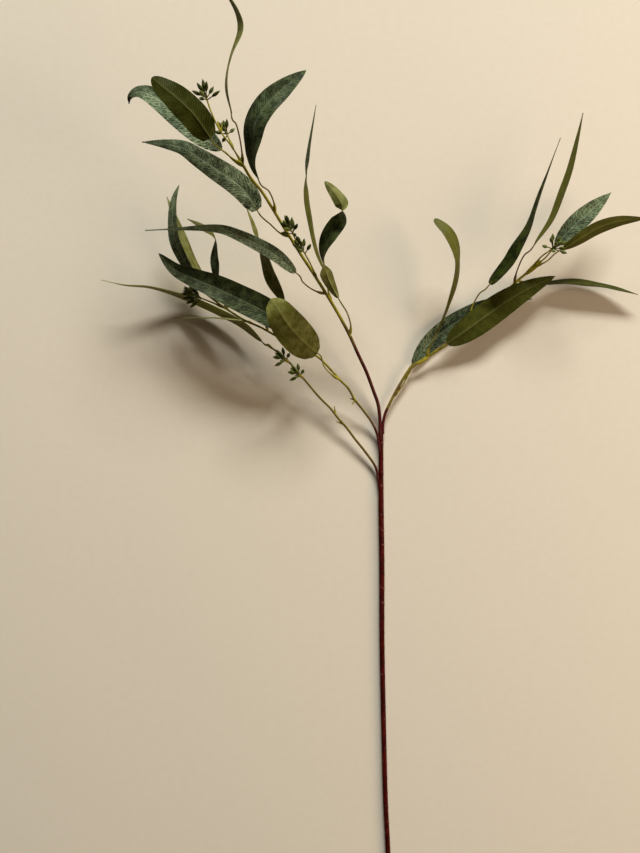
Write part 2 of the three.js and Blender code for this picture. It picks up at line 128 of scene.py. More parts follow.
uneven_dye = bpy.data.node_groups.new("uneven dye", "ShaderNodeTree")
uneven_dye.interface.new_socket("Spot", in_out="INPUT", socket_type="NodeSocketVector")
uneven_dye.interface.new_socket("Patches", in_out="OUTPUT", socket_type="NodeSocketFloat")
uneven_dye.interface.new_socket("Grain", in_out="OUTPUT", socket_type="NodeSocketFloat")
dye_in = uneven_dye.nodes.new("NodeGroupInput")
dye_out = uneven_dye.nodes.new("NodeGroupOutput")
patches = add(uneven_dye, "TexNoise",
              {"Vector": dye_in.outputs[0], "Scale": PATCHES_PER_METRE, "Detail": 3})
grain = add(uneven_dye, "TexNoise",
            {"Vector": dye_in.outputs[0], "Scale": GRAINS_PER_METRE, "Detail": 2})
uneven_dye.links.new(ease(uneven_dye, patches.outputs[0], *PATCH_LIMITS), dye_out.inputs["Patches"])
uneven_dye.links.new(ease(uneven_dye, grain.outputs[0], *GRAIN_LIMITS), dye_out.inputs["Grain"])


def place_dye(tree):
    """Places the uneven dye in a finish, and gives its patches and grain."""
    group = add(tree, "Group", node_tree=uneven_dye)
    tree.links.new(add(tree, "TexCoord").outputs["Object"], group.inputs["Spot"])
    return group.outputs["Patches"], group.outputs["Grain"]


def roughen(tree, shader, height, strength, depth=RELIEF_DEPTH):
    """A fine relief in the shading, from a height that changes over the surface."""
    bump = add(tree, "Bump", {"Height": height, "Strength": strength, "Distance": depth})
    tree.links.new(bump.outputs[0], shader.inputs["Normal"])


def speckle(tree, shader, grain, low, high):
    """Spots a little duller than the rest: the shader's roughness follows the grain."""
    tree.links.new(ease(tree, grain, low, high), shader.inputs["Roughness"])


print("node groups:", [group.name for group in bpy.data.node_groups])

# %% [markdown]
# ## Floor and light
# The branch lies on a plain, pale, slightly warm surface. A backdrop with a sweep could be built, but
# a wide floor is enough when the camera looks down.
# A wide, low lamp stands past the top of the picture and a little to the right, as a window would.
# Shadows fall downwards from it: those of leaves that lie across the picture stay dark, and those of
# upright stalks fade. A weak warm lamp at the right and a glow from all round fill the shade.

# %% Lay the floor and set the light
FLOOR_SIZE = 14
FLOOR_DROP = 0.0002
FLOOR_RELIEF = 0.0003
FLOOR_PALE = (0.80, 0.68, 0.51, 1)
FLOOR_WARM = (0.79, 0.668, 0.498, 1)
GLOW_COLOUR = (1.0, 0.85, 0.66, 1)
GLOW_STRENGTH = 0.05

bpy.context.scene.view_settings.view_transform = "Standard"
bpy.ops.mesh.primitive_plane_add(size=FLOOR_SIZE, location=(0, 0, -FLOOR_DROP))
floor = bpy.context.object
bpy.ops.object.transform_apply(location=True, rotation=True, scale=True)
floor.name = "floor"
paint, tree, shader = new_finish("pale floor paint", 0.85)
patches, grain = place_dye(tree)
tree.links.new(blend(tree, patches, FLOOR_PALE, FLOOR_WARM), shader.inputs["Base Color"])
roughen(tree, shader, grain, 0.05, FLOOR_RELIEF)
floor.data.materials.append(paint)


def set_lamp(spot, aim, wide, high, power, colour):
    """A soft oval lamp that faces the branch."""
    facing = (Vector(aim) - Vector(spot)).to_track_quat("-Z", "Y").to_euler()
    bpy.ops.object.light_add(type="AREA", location=spot, rotation=facing)
    lamp = bpy.context.object
    lamp.data.shape = "ELLIPSE"
    lamp.data.size = wide
    lamp.data.size_y = high
    lamp.data.energy = power
    lamp.data.color = colour
    print("lamp distance:", round((Vector(aim) - Vector(spot)).length, 2))


set_lamp(spot=(0.35, 4.1, 2.0), aim=(-0.05, 0.1, 0), wide=2.8, high=0.8, power=322,
         colour=(0.885, 0.947, 1.0))
set_lamp(spot=(1.6, 0.0, 0.9), aim=(0, 0, 0), wide=1.0, high=1.0, power=17, colour=(1.0, 0.83, 0.67))

world = bpy.data.worlds.new("soft room")
bpy.context.scene.world = world
world.use_nodes = True
glow = world.node_tree.nodes["Background"]
glow.inputs["Color"].default_value = GLOW_COLOUR
glow.inputs["Strength"].default_value = GLOW_STRENGTH

# %% [markdown]
# ## Smooth lines
# Every stem, stalk and leaf rib is a gentle curve through a few spots. They could be drawn as Bezier
# curves by hand, but the spots were read off the plan: right, down, and the height over the floor.
# A raised spot looks nearer to the camera, so it is drawn in a little towards the middle.
# The line through the spots is a Catmull-Rom curve, stepped off in even lengths.

# %% From plan spots to even lines
PLAN_RIGHT = 320
PLAN_DOWN = 426
MIDDLE_X = 54
MIDDLE_Y = -53
FINE_STEPS = 32


def place(spot):
    """A plan spot in millimetres as a point of the frame in metres."""
    right, down, height = spot
    nearness = 1 - height / EYE_HEIGHT
    x = (right - PLAN_RIGHT) * nearness - MIDDLE_X
    y = (PLAN_DOWN - down) * nearness - MIDDLE_Y
    return np.array((x, y, height)) * MM


def trace(points, steps):
    """Evenly spaced points on the smooth line through the given points, and its length."""
    given = np.asarray(points, float)
    row = [2 * given[0] - given[1], *given, 2 * given[-1] - given[-2]]
    share = np.linspace(0, 1, FINE_STEPS, endpoint=False)[:, None]
    dense = []
    for before, start, stop, after in zip(row, row[1:], row[2:], row[3:]):
        first = math.sqrt(np.linalg.norm(start - before))
        middle = math.sqrt(np.linalg.norm(stop - start))
        last = math.sqrt(np.linalg.norm(after - stop))
        step = stop - start
        leave = (start - before) / first - (stop - before) / (first + middle) + step / middle
        arrive = step / middle - (after - start) / (middle + last) + (after - stop) / last
        leave = leave * middle
        arrive = arrive * middle
        bend = (3 * step - 2 * leave - arrive) * share**2
        dense.append(start + leave * share + bend + (leave + arrive - 2 * step) * share**3)
    dense = np.vstack([*dense, given[-1:]])
    reach = np.append(0, np.cumsum(np.linalg.norm(np.diff(dense, axis=0), axis=1)))
    even = np.linspace(0, reach[-1], steps + 1)
    line = np.stack([np.interp(even, reach, dense[:, axis]) for axis in range(3)], 1)
    return line, reach[-1]


print("the picture's middle on the floor:", place((PLAN_RIGHT, PLAN_DOWN, 0)))

# %% [markdown]
# ## Bending a piece along a line
# A stem or a leaf is easiest to model straight and flat, lying along the X axis. The Curve modifier
# then lays it onto a guide curve. The guide's tilt turns the piece about its own length, which is how
# a leaf shows its face in one place and its back in another.
# Rods start as a cylinder whose long edges are subdivided into rings, and each ring is scaled.

# %% Read and write points, maps and marks
def read_spots(piece):
    """The piece's points, one to a row."""
    spots = np.empty(3 * len(piece.data.vertices), np.float32)
    piece.data.vertices.foreach_get("co", spots)
    return spots.reshape(-1, 3).astype(float)


def write_spots(piece, spots):
    """Moves the piece's points."""
    piece.data.vertices.foreach_set("co", np.asarray(spots, np.float32).ravel())
    piece.data.update()


def stretch_map(piece, times):
    """Stretches a piece's own UV map along the piece."""
    layer = piece.data.uv_layers["UVMap"].uv
    corners = np.empty(2 * len(layer), np.float32)
    layer.foreach_get("vector", corners)
    corners[0::2] *= times
    layer.foreach_set("vector", corners)


def mark(piece, name, values):
    """Gives every point of a piece a value that its finish reads."""
    layer = piece.data.attributes.new(name, "FLOAT", "POINT")
    layer.data.foreach_set("value", np.asarray(values, np.float32))


print("a mesh keeps its points, its map and its marks")

# %% Bend a piece and make a rod
ROD_SIDES = 14
SMOOTH_ANGLE = math.radians(50)


def settle(piece):
    """Applies a piece's modifiers in order."""
    bpy.ops.object.select_all(action="DESELECT")
    piece.select_set(True)
    bpy.context.view_layer.objects.active = piece
    for modifier in list(piece.modifiers):
        bpy.ops.object.modifier_apply(modifier=modifier.name)


def bend_along(piece, line, turns=(0, 0)):
    """Bends a piece that lies along +X onto a line, turned by degrees spread evenly over it."""
    guide_curve = bpy.data.curves.new("guide", "CURVE")
    guide_curve.dimensions = "3D"
    guide_curve.twist_mode = "Z_UP"
    guide_curve.use_deform_bounds = False
    spline = guide_curve.splines.new("POLY")
    spline.points.add(len(line) - 1)
    spread = np.linspace(0, 1, len(turns))
    tilts = np.interp(np.linspace(0, 1, len(line)), spread, -np.radians(turns))
    for point, spot, tilt in zip(spline.points, line, tilts):
        point.co = (*spot, 1)
        point.tilt = tilt
    guide = bpy.data.objects.new("guide", guide_curve)
    bpy.context.scene.collection.objects.link(guide)
    bend = piece.modifiers.new("bend", "CURVE")
    bend.object = guide
    bend.deform_axis = "POS_X"
    settle(piece)
    bpy.data.objects.remove(guide)
    bpy.data.curves.remove(guide_curve)


def rod(line, radii, sides=ROD_SIDES):
    """A bar along a line of points, with a radius in millimetres at each point."""
    length = float(np.linalg.norm(np.diff(line, axis=0), axis=1).sum())
    bpy.ops.object.select_all(action="DESELECT")
    bpy.ops.mesh.primitive_cylinder_add(vertices=sides, radius=MM, depth=length,
                                        location=(length / 2, 0, 0), rotation=(0, math.pi / 2, 0))
    bar = bpy.context.object
    bpy.ops.object.transform_apply(location=True, rotation=True, scale=True)
    bpy.ops.object.mode_set(mode="EDIT")
    bpy.ops.mesh.select_mode(type="EDGE")
    bpy.ops.mesh.select_all(action="DESELECT")
    for edge in bmesh.from_edit_mesh(bar.data).edges:
        edge.select_set(abs(edge.verts[0].co.x - edge.verts[1].co.x) > length / 2)
    bpy.ops.mesh.subdivide(number_cuts=len(line) - 2)
    bpy.ops.object.mode_set(mode="OBJECT")
    spots = read_spots(bar)
    ring = np.rint(spots[:, 0] / length * (len(line) - 1)).astype(int)
    spots[:, 1:] *= np.asarray(radii)[ring][:, None]
    write_spots(bar, spots)
    bend_along(bar, line)
    return bar


def dress(piece, finish, node):
    """Gives a piece its finish, and lets it stand for its CAD node."""
    piece.data.materials.clear()
    piece.data.materials.append(finish)
    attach(piece, "root")
    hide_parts(node)


print("a rod has", ROD_SIDES, "sides")

# %% [markdown]
# ## The wrapped main stem
# The stem is a wire in a paper and wax tape, wound in a steep spiral, so every turn leaves a low step
# with a scuffed, paler edge. The steps could be painted, but they catch the light, so they are modelled.
# A flat grid is rolled into a tube, because its own UV map then runs along the stem and round it, and
# the tape's edge is a straight slanted line on that map. The cut end keeps its bore for the wire.

# %% The tape's finish
TAPE_DARK = (0.036, 0.0020, 0.0010, 1)
TAPE_RED = (0.075, 0.0045, 0.0020, 1)
TAPE_SCUFF = (0.42, 0.20, 0.15, 1)
EDGE_LINE = (0.055, 0.012)
SCUFF_NOISE = 420
SCUFF_LIMITS = (0.54, 0.68)

tape_finish, tree, shader = new_finish("dark red tape", 0.5)
patches, grain = place_dye(tree)
map_parts = add(tree, "SeparateXYZ", {0: add(tree, "UVMap", uv_map="UVMap").outputs[0]})
wound = reckon(tree, "ADD", map_parts.outputs["X"], map_parts.outputs["Y"])
edge_gap = reckon(tree, "PINGPONG", wound, 0.5)
edge_line = ease(tree, edge_gap, *EDGE_LINE)
spot = add(tree, "TexCoord").outputs["Object"]
scuffs = add(tree, "TexNoise", {"Vector": spot, "Scale": SCUFF_NOISE, "Detail": 3}).outputs[0]
scuffed = reckon(tree, "MULTIPLY", edge_line, ease(tree, scuffs, *SCUFF_LIMITS))
tape_tone = blend(tree, patches, TAPE_DARK, TAPE_RED)
tree.links.new(blend(tree, scuffed, tape_tone, TAPE_SCUFF), shader.inputs["Base Color"])
speckle(tree, shader, grain, -1.2, 2.6)
roughen(tree, shader, grain, 0.12)
print("finish:", tape_finish.name)

# %% Roll the tube and wind its tape
STEM_LINE = [(390, 932, 2.4), (388, 853, 2.4), (385.5, 800, 2.4), (383.5, 720, 2.45), (382, 640, 2.5),
             (381.8, 560, 2.65), (381, 500, 2.65), (381, 465, 2.45), (381.2, 434, 2.15)]
STEM_RINGS = 620
STEM_SIDES = 28
FLAT_SHARE = math.cos(math.radians(15))
TAPE_PITCH = 14.5
TAPE_STEP = 0.22
TAPE_FADE = 5
CREASE = 0.05
CREASES_ROUND = 7
CREASES_PER_TURN = 5
HEAD_DOME = 0.5
HEAD_SHARE = 0.6
BORE_RADIUS = 1.4
BORE_DEPTH = 14

stem_line, stem_length = trace([place(spot) for spot in STEM_LINE], STEM_RINGS)
bpy.ops.mesh.primitive_grid_add(x_subdivisions=STEM_RINGS, y_subdivisions=STEM_SIDES, size=1)
stem = bpy.context.object
stem.name = "main_stem_wrap"
tape_turns = stem_length / MM / TAPE_PITCH
stretch_map(stem, tape_turns)

spots = read_spots(stem)
along = spots[:, 0] + 0.5
round_turn = spots[:, 1] + 0.5
radius = np.interp(along, np.linspace(0, 1, STEM_RINGS + 1), stem_line[:, 2]) / FLAT_SHARE
past_edge = (along * tape_turns + round_turn) % 1
radius = radius + MM * (TAPE_STEP * np.exp(-TAPE_FADE * past_edge) - TAPE_STEP / 2)
crease_turn = CREASES_ROUND * round_turn + CREASES_PER_TURN * along * tape_turns
radius = radius + MM * CREASE * np.sin(2 * math.pi * crease_turn)
spots[:, 0] = along * stem_length
spots[:, 1] = radius * np.cos(2 * math.pi * round_turn)
spots[:, 2] = radius * np.sin(2 * math.pi * round_turn)
write_spots(stem, spots)
print("turns of tape:", round(tape_turns, 1))

# %% Close the seam, cap the head and cut the bore
def select_open_edges(piece, x):
    """Selects the open edges round one end of a tube that lies along X."""
    bpy.ops.mesh.select_all(action="DESELECT")
    for edge in bmesh.from_edit_mesh(piece.data).edges:
        at_end = all(abs(corner.co.x - x) < MM / 10 for corner in edge.verts)
        edge.select_set(edge.is_boundary and at_end)


bpy.ops.object.mode_set(mode="EDIT")
bpy.ops.mesh.select_mode(type="EDGE")
bpy.ops.mesh.select_all(action="SELECT")
bpy.ops.mesh.remove_doubles(threshold=MM / 1000)
select_open_edges(stem, stem_length)
bpy.ops.mesh.extrude_region_move(TRANSFORM_OT_translate={"value": (HEAD_DOME * MM, 0, 0)})
bpy.ops.transform.resize(value=(1, HEAD_SHARE, HEAD_SHARE), center_override=(stem_length, 0, 0))
bpy.ops.mesh.edge_face_add()
select_open_edges(stem, 0)
foot_radius = stem_line[0, 2] / FLAT_SHARE
bore_share = BORE_RADIUS * MM / foot_radius
bpy.ops.mesh.extrude_region_move(TRANSFORM_OT_translate={"value": (0, 0, 0)})
bpy.ops.transform.resize(value=(1, bore_share, bore_share), center_override=(0, 0, 0))
bpy.ops.mesh.extrude_region_move(TRANSFORM_OT_translate={"value": (BORE_DEPTH * MM, 0, 0)})
bpy.ops.mesh.edge_face_add()
bpy.ops.mesh.select_all(action="SELECT")
bpy.ops.mesh.normals_make_consistent(inside=False)
bpy.ops.object.mode_set(mode="OBJECT")
bend_along(stem, stem_line)
spots = read_spots(stem)
spots[:, 2] = np.maximum(spots[:, 2], 0)
write_spots(stem, spots)
bpy.ops.object.shade_smooth_by_angle(angle=SMOOTH_ANGLE)
dress(stem, tape_finish, "main_stem")
print("main stem faces:", len(stem.data.polygons))

# %% [markdown]
# ## The wire core
# The wire shows only at the stem's cut end. Its CAD solid already has the right shape, so it stays and
# gets a drawn steel finish: grey, with fine lines and a little tarnish.

# %% Finish the wire
STEEL_BRIGHT = (0.52, 0.52, 0.51, 1)
STEEL_DULL = (0.30, 0.29, 0.27, 1)

steel, tree, shader = new_finish("drawn steel wire", 0.35, 0.5)
shader.inputs["Metallic"].default_value = 1
patches, grain = place_dye(tree)
tree.links.new(blend(tree, patches, STEEL_BRIGHT, STEEL_DULL), shader.inputs["Base Color"])
speckle(tree, shader, grain, -1.0, 2.2)
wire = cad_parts["stem_wire"]
wire.data.materials.clear()
wire.data.materials.append(steel)
print("finish:", steel.name)

# %% [markdown]
# ## The moulded sprigs
# Each sprig is one moulding: a stem with leaf stalks and bud stalks that swell into sockets where they
# leave it. Separate tubes would show hard creases where they meet, so the rods are joined and the
# Remesh modifier fuses them into one skin with soft corners.
# The plastic is dark red where it leaves the main stem and turns yellow-green further on. Remesh
# drops any paint, so the tint is laid on afterwards: each point takes it from the nearest rod.

# %% The sprigs' finish
SPRIG_RED = (0.075, 0.010, 0.008, 1)
SPRIG_BROWN = (0.140, 0.075, 0.022, 1)
SPRIG_OLIVE = (0.175, 0.135, 0.020, 1)
SPRIG_YELLOW = (0.370, 0.300, 0.024, 1)
TO_OLIVE = (0.0, 0.4)
TO_BROWN = (0.35, 0.7)
TO_RED = (0.65, 0.95)
TINT_SPREAD = 0.22

sprig_finish, tree, shader = new_finish("moulded sprig plastic", 0.42)
patches, grain = place_dye(tree)
tint = add(tree, "Attribute", attribute_name="tint").outputs["Fac"]
off_middle = reckon(tree, "SUBTRACT", patches, 0.5)
uneven = reckon(tree, "MULTIPLY_ADD", off_middle, TINT_SPREAD, tint)
green_part = blend(tree, ease(tree, uneven, *TO_OLIVE), SPRIG_YELLOW, SPRIG_OLIVE)
brown_part = blend(tree, ease(tree, uneven, *TO_BROWN), green_part, SPRIG_BROWN)
sprig_tone = blend(tree, ease(tree, uneven, *TO_RED), brown_part, SPRIG_RED)
tree.links.new(sprig_tone, shader.inputs["Base Color"])
speckle(tree, shader, grain, -1.2, 2.8)
roughen(tree, shader, grain, 0.08)
print("finish:", sprig_finish.name)

# %% Stalks, nubs and fused sprigs
STALK_RADIUS = 0.75
STALK_TIP_RADIUS = 0.45
SOCKET_RADIUS = 1.5
SOCKET_MIDDLE = 5
SOCKET_REACH = 4
STALK_RUN_IN = 6
STALK_OVERLAP = 4
NUB_RADII = (1.0, 0.5)
NUB_STEPS = 5
COLLAR_STEPS = 10
RIB_STEPS = 100
NUB_TINT = 0.15
FOOT_TINT = 0.1
STALK_TINT = 0.4
BUD_STALK_TINT = 0.15
COLLAR_TINT = 0.0
ROD_STEP = 1.6
FUSE_CELL = 0.3
SOFTEN_TIMES = 2


def steps_for(points):
    """How many rings a rod through these points needs."""
    length = np.linalg.norm(np.diff(np.asarray(points), axis=0), axis=1).sum()
    return max(4, round(length / MM / ROD_STEP))


def stalk_rod(points, tip_radius=STALK_RADIUS):
    """A stalk that swells into a socket near its foot and may taper at its tip."""
    line, length = trace(points, steps_for(points))
    run = np.linspace(0, length / MM, len(line))
    swell = (SOCKET_RADIUS - STALK_RADIUS) * np.exp(-(((run - SOCKET_MIDDLE) / SOCKET_REACH) ** 2))
    taper = np.clip((run - run[-1] + 2 * STALK_OVERLAP) / (2 * STALK_OVERLAP), 0, 1)
    return line, STALK_RADIUS + swell + (tip_radius - STALK_RADIUS) * taper


def leaf_stalk(leaf):
    """A leaf's stalk, which runs straight in under the foot of the blade."""
    rib = trace([place(spot) for spot in leaf["rib"]], RIB_STEPS)[0]
    along = (rib[1] - rib[0]) / np.linalg.norm(rib[1] - rib[0])
    run_in = rib[0] - along * STALK_RUN_IN * MM
    seat = rib[0] + along * STALK_OVERLAP * MM
    return stalk_rod([*[place(spot) for spot in leaf["stalk"]], run_in, seat], STALK_TIP_RADIUS)


def fuse(rods, name):
    """Joins rods and fuses them into one skin."""
    bpy.ops.object.select_all(action="DESELECT")
    for bar in rods:
        bar.select_set(True)
    bpy.context.view_layer.objects.active = rods[0]
    bpy.ops.object.join()
    whole = bpy.context.object
    whole.name = name
    skin = whole.modifiers.new("fuse", "REMESH")
    skin.mode = "VOXEL"
    skin.voxel_size = FUSE_CELL * MM
    soften = whole.modifiers.new("soften", "SMOOTH")
    soften.iterations = SOFTEN_TIMES
    settle(whole)
    bpy.ops.object.shade_smooth()
    return whole


def make_sprig(name, axis, radii, leaves, buds, nubs, tints, collars=()):
    """A sprig with its stalks. Tints run along the axis: 0 is yellow, 0.5 brown and 1 red."""
    points = [place(spot) for spot in axis]
    line, length = trace(points, steps_for(points))
    share = np.linspace(0, 1, len(line))
    parts = [(line, np.interp(share, (0, 1), radii), np.interp(share, *zip(*tints)))]
    for leaf in leaves:
        stalk, thick = leaf_stalk(leaf)
        tint_ends = leaf.get("foot_tint", FOOT_TINT), leaf.get("stalk_tint", STALK_TINT)
        parts.append((stalk, thick, np.linspace(*tint_ends, len(stalk))))
    for bunch in buds:
        stalk, thick = stalk_rod([place(spot) for spot in bunch["stalk"]])
        parts.append((stalk, thick, np.full(len(stalk), BUD_STALK_TINT)))
    for nub in nubs:
        stub = trace([place(spot) for spot in nub], NUB_STEPS)[0]
        parts.append((stub, np.linspace(*NUB_RADII, len(stub)), np.full(len(stub), NUB_TINT)))
    for start, stop, wide in collars:
        collar = trace([place(start), place(stop)], COLLAR_STEPS)[0]
        belly = np.sqrt(np.sin(math.pi * np.linspace(0.1, 0.9, len(collar))))
        parts.append((collar, wide * belly, np.full(len(collar), COLLAR_TINT)))
    sprig = fuse([rod(points, thick) for points, thick, shade in parts], f"{name}_sprig_moulding")
    paint_tints(sprig, parts)
    dress(sprig, sprig_finish, f"{name}_sprig")
    print(name, "sprig faces:", len(sprig.data.polygons))


def paint_tints(sprig, parts):
    """Gives each point of a sprig the tint of the nearest rod."""
    spots = np.vstack([line for line, thick, shade in parts])
    shades = np.concatenate([shade for line, thick, shade in parts])
    nearest = KDTree(len(spots))
    for number, spot in enumerate(spots):
        nearest.insert(spot, number)
    nearest.balance()
    mark(sprig, "tint", [shades[nearest.find(point.co)[1]] for point in sprig.data.vertices])


print("stalk radius in millimetres:", STALK_RADIUS)

# %% [markdown]
# ## The printed leaves
# A leaf is a blade of printed cloth, stiffened and embossed: dark green with pale feather veins on its
# face, plain olive on its back. A photograph could be laid on it, but here the blade is modelled.
# A grid's rows are slanted into chevrons, so that every fourth row lies along a vein. The veins are then
# true ridges, and on the grid's own UV map they are simple stripes, which the finish draws in colour.
# Solidify gives the blade its thickness, and its second skin becomes the back. Two leaves of the top
# sprig have dry, brown tips. How pale each leaf's veins and back are is set leaf by leaf: partly the
# print's own colour, partly painted light and shade. Two leaves also get a paler and a darker half,
# as painted light and painted shade.

# %% The leaf's finish
LEAF_DARK = (0.010, 0.0130, 0.0015, 1)
LEAF_GREEN = (0.030, 0.038, 0.0045, 1)
LEAF_PALE = (0.340, 0.400, 0.215, 1)
BACK_DARK = (0.026, 0.029, 0.001, 1)
BACK_OLIVE = (0.104, 0.096, 0.013, 1)
BACK_PALE = (0.400, 0.385, 0.130, 1)
BACK_RIB = (0.240, 0.220, 0.070, 1)
DRY_TIP = (0.060, 0.030, 0.012, 1)
MAIN_VEIN = (0.15, 0.04)
FINE_VEIN = (0.2, 0.05)
NET_VEIN = (0.12, 0.03)
RIB_LINE = (0.11, 0.05)
FINE_PER_MAIN = 1.6
MAIN_STRAY = 1.6
FINE_STRAY = 3.5
NET_SCALE = 5.5
NET_STRETCH = (0.3, 1.1, 1)
NET_SHARE = 0.8
# A pale wash over the whole face that grows with the frost: partly the leaf's own bloom, partly painted
# sheen.
BLOOM_AND_SHEEN = 0.035
FACE_RIB_SHARE = 0.45
BACK_VEIN_SHARE = 0.5
BACK_MARK_SHARE = 0.26
TONE_SPREAD = 0.12

leaf_finish, tree, shader = new_finish("printed leaf", 0.5)
patches, grain = place_dye(tree)
leaf_map = add(tree, "UVMap", uv_map="UVMap").outputs[0]
leaf_parts = add(tree, "SeparateXYZ", {0: leaf_map})
veins = leaf_parts.outputs["X"]
across = leaf_parts.outputs["Y"]
# Frost, set leaf by leaf, makes the veins, the rib and the wash paler: partly the print's own paleness,
# partly painted light and sheen on leaves that catch the lamp and painted shade on those turned from it.
frost_and_painted_light = add(tree, "Attribute", attribute_name="frost_and_painted_light").outputs["Fac"]
tone_light_and_shade = add(tree, "Attribute", attribute_name="tone_light_and_shade").outputs["Fac"]
back = add(tree, "Attribute", attribute_name="underside").outputs["Fac"]
dry = add(tree, "Attribute", attribute_name="dry").outputs["Fac"]


def leaf_noise(scale_along, scale_across, detail):
    """Noise on the leaf's map, stretched along the veins."""
    scales = (scale_along, scale_across, 1)
    stretched = add(tree, "VectorMath", {0: leaf_map, 1: scales}, operation="MULTIPLY").outputs[0]
    return add(tree, "TexNoise", {"Vector": stretched, "Scale": 1, "Detail": detail}).outputs[0]


wander = leaf_noise(0.9, 7, 2)
broken = ease(tree, leaf_noise(2.2, 16, 3), 0.42, 0.62)
strayed = reckon(tree, "MULTIPLY_ADD", wander, MAIN_STRAY, veins)
main_vein = ease(tree, reckon(tree, "PINGPONG", strayed, 0.5), *MAIN_VEIN)
finer_veins = reckon(tree, "MULTIPLY", veins, FINE_PER_MAIN)
finer = reckon(tree, "MULTIPLY_ADD", wander, FINE_STRAY, finer_veins)
fine_vein = ease(tree, reckon(tree, "PINGPONG", finer, 0.5), *FINE_VEIN)
net_map = add(tree, "VectorMath", {0: leaf_map, 1: NET_STRETCH}, operation="MULTIPLY").outputs[0]
net = add(tree, "TexVoronoi", {"Vector": net_map, "Scale": NET_SCALE}, feature="DISTANCE_TO_EDGE")
net_vein = ease(tree, net.outputs[0], *NET_VEIN)
streaks = ease(tree, leaf_noise(1.3, 9, 2), 0.36, 0.6)
main_part = reckon(tree, "MULTIPLY", main_vein, streaks)
some_vein = reckon(tree, "MAXIMUM", main_part, reckon(tree, "MULTIPLY", fine_vein, broken))
all_vein = reckon(tree, "MAXIMUM", some_vein, reckon(tree, "MULTIPLY", net_vein, NET_SHARE))
worn = reckon(tree, "MULTIPLY_ADD", patches, 0.6, 0.4)
bloom_and_sheen = reckon(tree, "MULTIPLY", reckon(tree, "MULTIPLY", frost_and_painted_light, frost_and_painted_light), BLOOM_AND_SHEEN)
pale_vein = reckon(tree, "MULTIPLY", all_vein, worn)
pale = reckon(tree, "MULTIPLY_ADD", pale_vein, frost_and_painted_light, bloom_and_sheen)
off_rib = reckon(tree, "ABSOLUTE", reckon(tree, "SUBTRACT", across, 0.5))
rib_line = ease(tree, off_rib, *RIB_LINE)
face_base = blend(tree, patches, LEAF_DARK, LEAF_GREEN)
face_veined = blend(tree, pale, face_base, LEAF_PALE)
rib_frost_and_light = reckon(tree, "MULTIPLY", frost_and_painted_light, FACE_RIB_SHARE)
face_pale_rib = reckon(tree, "MULTIPLY", rib_line, rib_frost_and_light)
face_tone = blend(tree, face_pale_rib, face_veined, LEAF_PALE)
# Tone, set leaf by leaf, runs the back from near black through olive to pale: partly the back's own
# olive, partly painted shade on leaves that face the lamp and painted light on leaves that lie in
# shadow.
off_middle = reckon(tree, "SUBTRACT", patches, 0.5)
spotted_tone = reckon(tree, "MULTIPLY_ADD", off_middle, TONE_SPREAD, tone_light_and_shade)
back_half = blend(tree, reckon(tree, "MULTIPLY", spotted_tone, 2.0), BACK_DARK, BACK_OLIVE)
back_base = blend(tree, reckon(tree, "MULTIPLY_ADD", spotted_tone, 2.0, -1.0), back_half, BACK_PALE)
back_vein = reckon(tree, "MULTIPLY", main_vein, BACK_VEIN_SHARE)
back_mark = reckon(tree, "MAXIMUM", rib_line, back_vein)
back_tone = blend(tree, reckon(tree, "MULTIPLY", back_mark, BACK_MARK_SHARE), back_base, BACK_RIB)
leaf_tone = blend(tree, dry, blend(tree, back, face_tone, back_tone), DRY_TIP)
tree.links.new(leaf_tone, shader.inputs["Base Color"])
speckle(tree, shader, grain, -1.4, 2.4)
roughen(tree, shader, reckon(tree, "ADD", all_vein, grain), 0.15)
print("finish:", leaf_finish.name)

# %% Shape one leaf
VEIN_GAP = 3.0
ROWS_PER_VEIN = 4
COLUMNS = 16
COLUMN_CROWDING = 1.6
VEIN_SLANT = 1.5
BLADE_THICKNESS = 0.4
BASE_HALF = 0.8
TIP_HALF = 0.5
BLADE_FULLNESS = 1.6
BLADE_FOLD = 0.1
VEIN_HEIGHT = 0.09
GROOVE_DEPTH = 0.2
BACK_RIB_HEIGHT = 0.45
RIB_HALF = 0.8
WAVE_SHARE = 0.07
WAVE_COUNT = 2.4
DRY_FADE = 0.03
NEVER_DRY = 2
GUIDE_STEPS = 110


def blade_half(u, leaf):
    """Half the width of a blade in millimetres: pointed at both ends, fullest at the belly."""
    u = np.clip(u, 0, 1)
    belly = leaf["belly"]
    fullness = leaf.get("fullness", BLADE_FULLNESS)
    rise = (u / belly) ** (fullness * belly)
    fall = ((1 - u) / (1 - belly)) ** (fullness * (1 - belly))
    return np.maximum(BASE_HALF + (TIP_HALF - BASE_HALF) * u, leaf["width"] / 2 * rise * fall)


def shape_blade(blade, leaf, length, veins, draw):
    """Gives a flat grid the outline, fold, veins and waved edges of a leaf."""
    spots = read_spots(blade)
    row = spots[:, 0] + 0.5
    share = -2 * spots[:, 1]
    share = np.sign(share) * np.abs(share) ** COLUMN_CROWDING
    out = np.abs(share)
    lead = VEIN_SLANT * out * blade_half(row, leaf) * MM / length
    left = np.maximum(1 - row, 1e-6)
    u = row + left * (1 - np.exp(-lead / left))
    half = blade_half(u, leaf)
    ridge = VEIN_HEIGHT * np.cos(2 * math.pi * row * veins) * np.clip(4 * out * (1 - out), 0, 1)
    groove = GROOVE_DEPTH * np.exp(-((out * half / RIB_HALF) ** 2)) * (1 - row)
    side_turn = np.where(share > 0, draw.random(), draw.random())
    wave = WAVE_SHARE * half * out**2 * np.sin(2 * math.pi * (WAVE_COUNT * u + side_turn))
    lift = leaf.get("fold", BLADE_FOLD) * half * out
    spots[:, 0] = u * length
    spots[:, 1] = -share * half * MM
    spots[:, 2] = (lift + ridge - groove + wave) * MM
    write_spots(blade, spots)
    return share, u


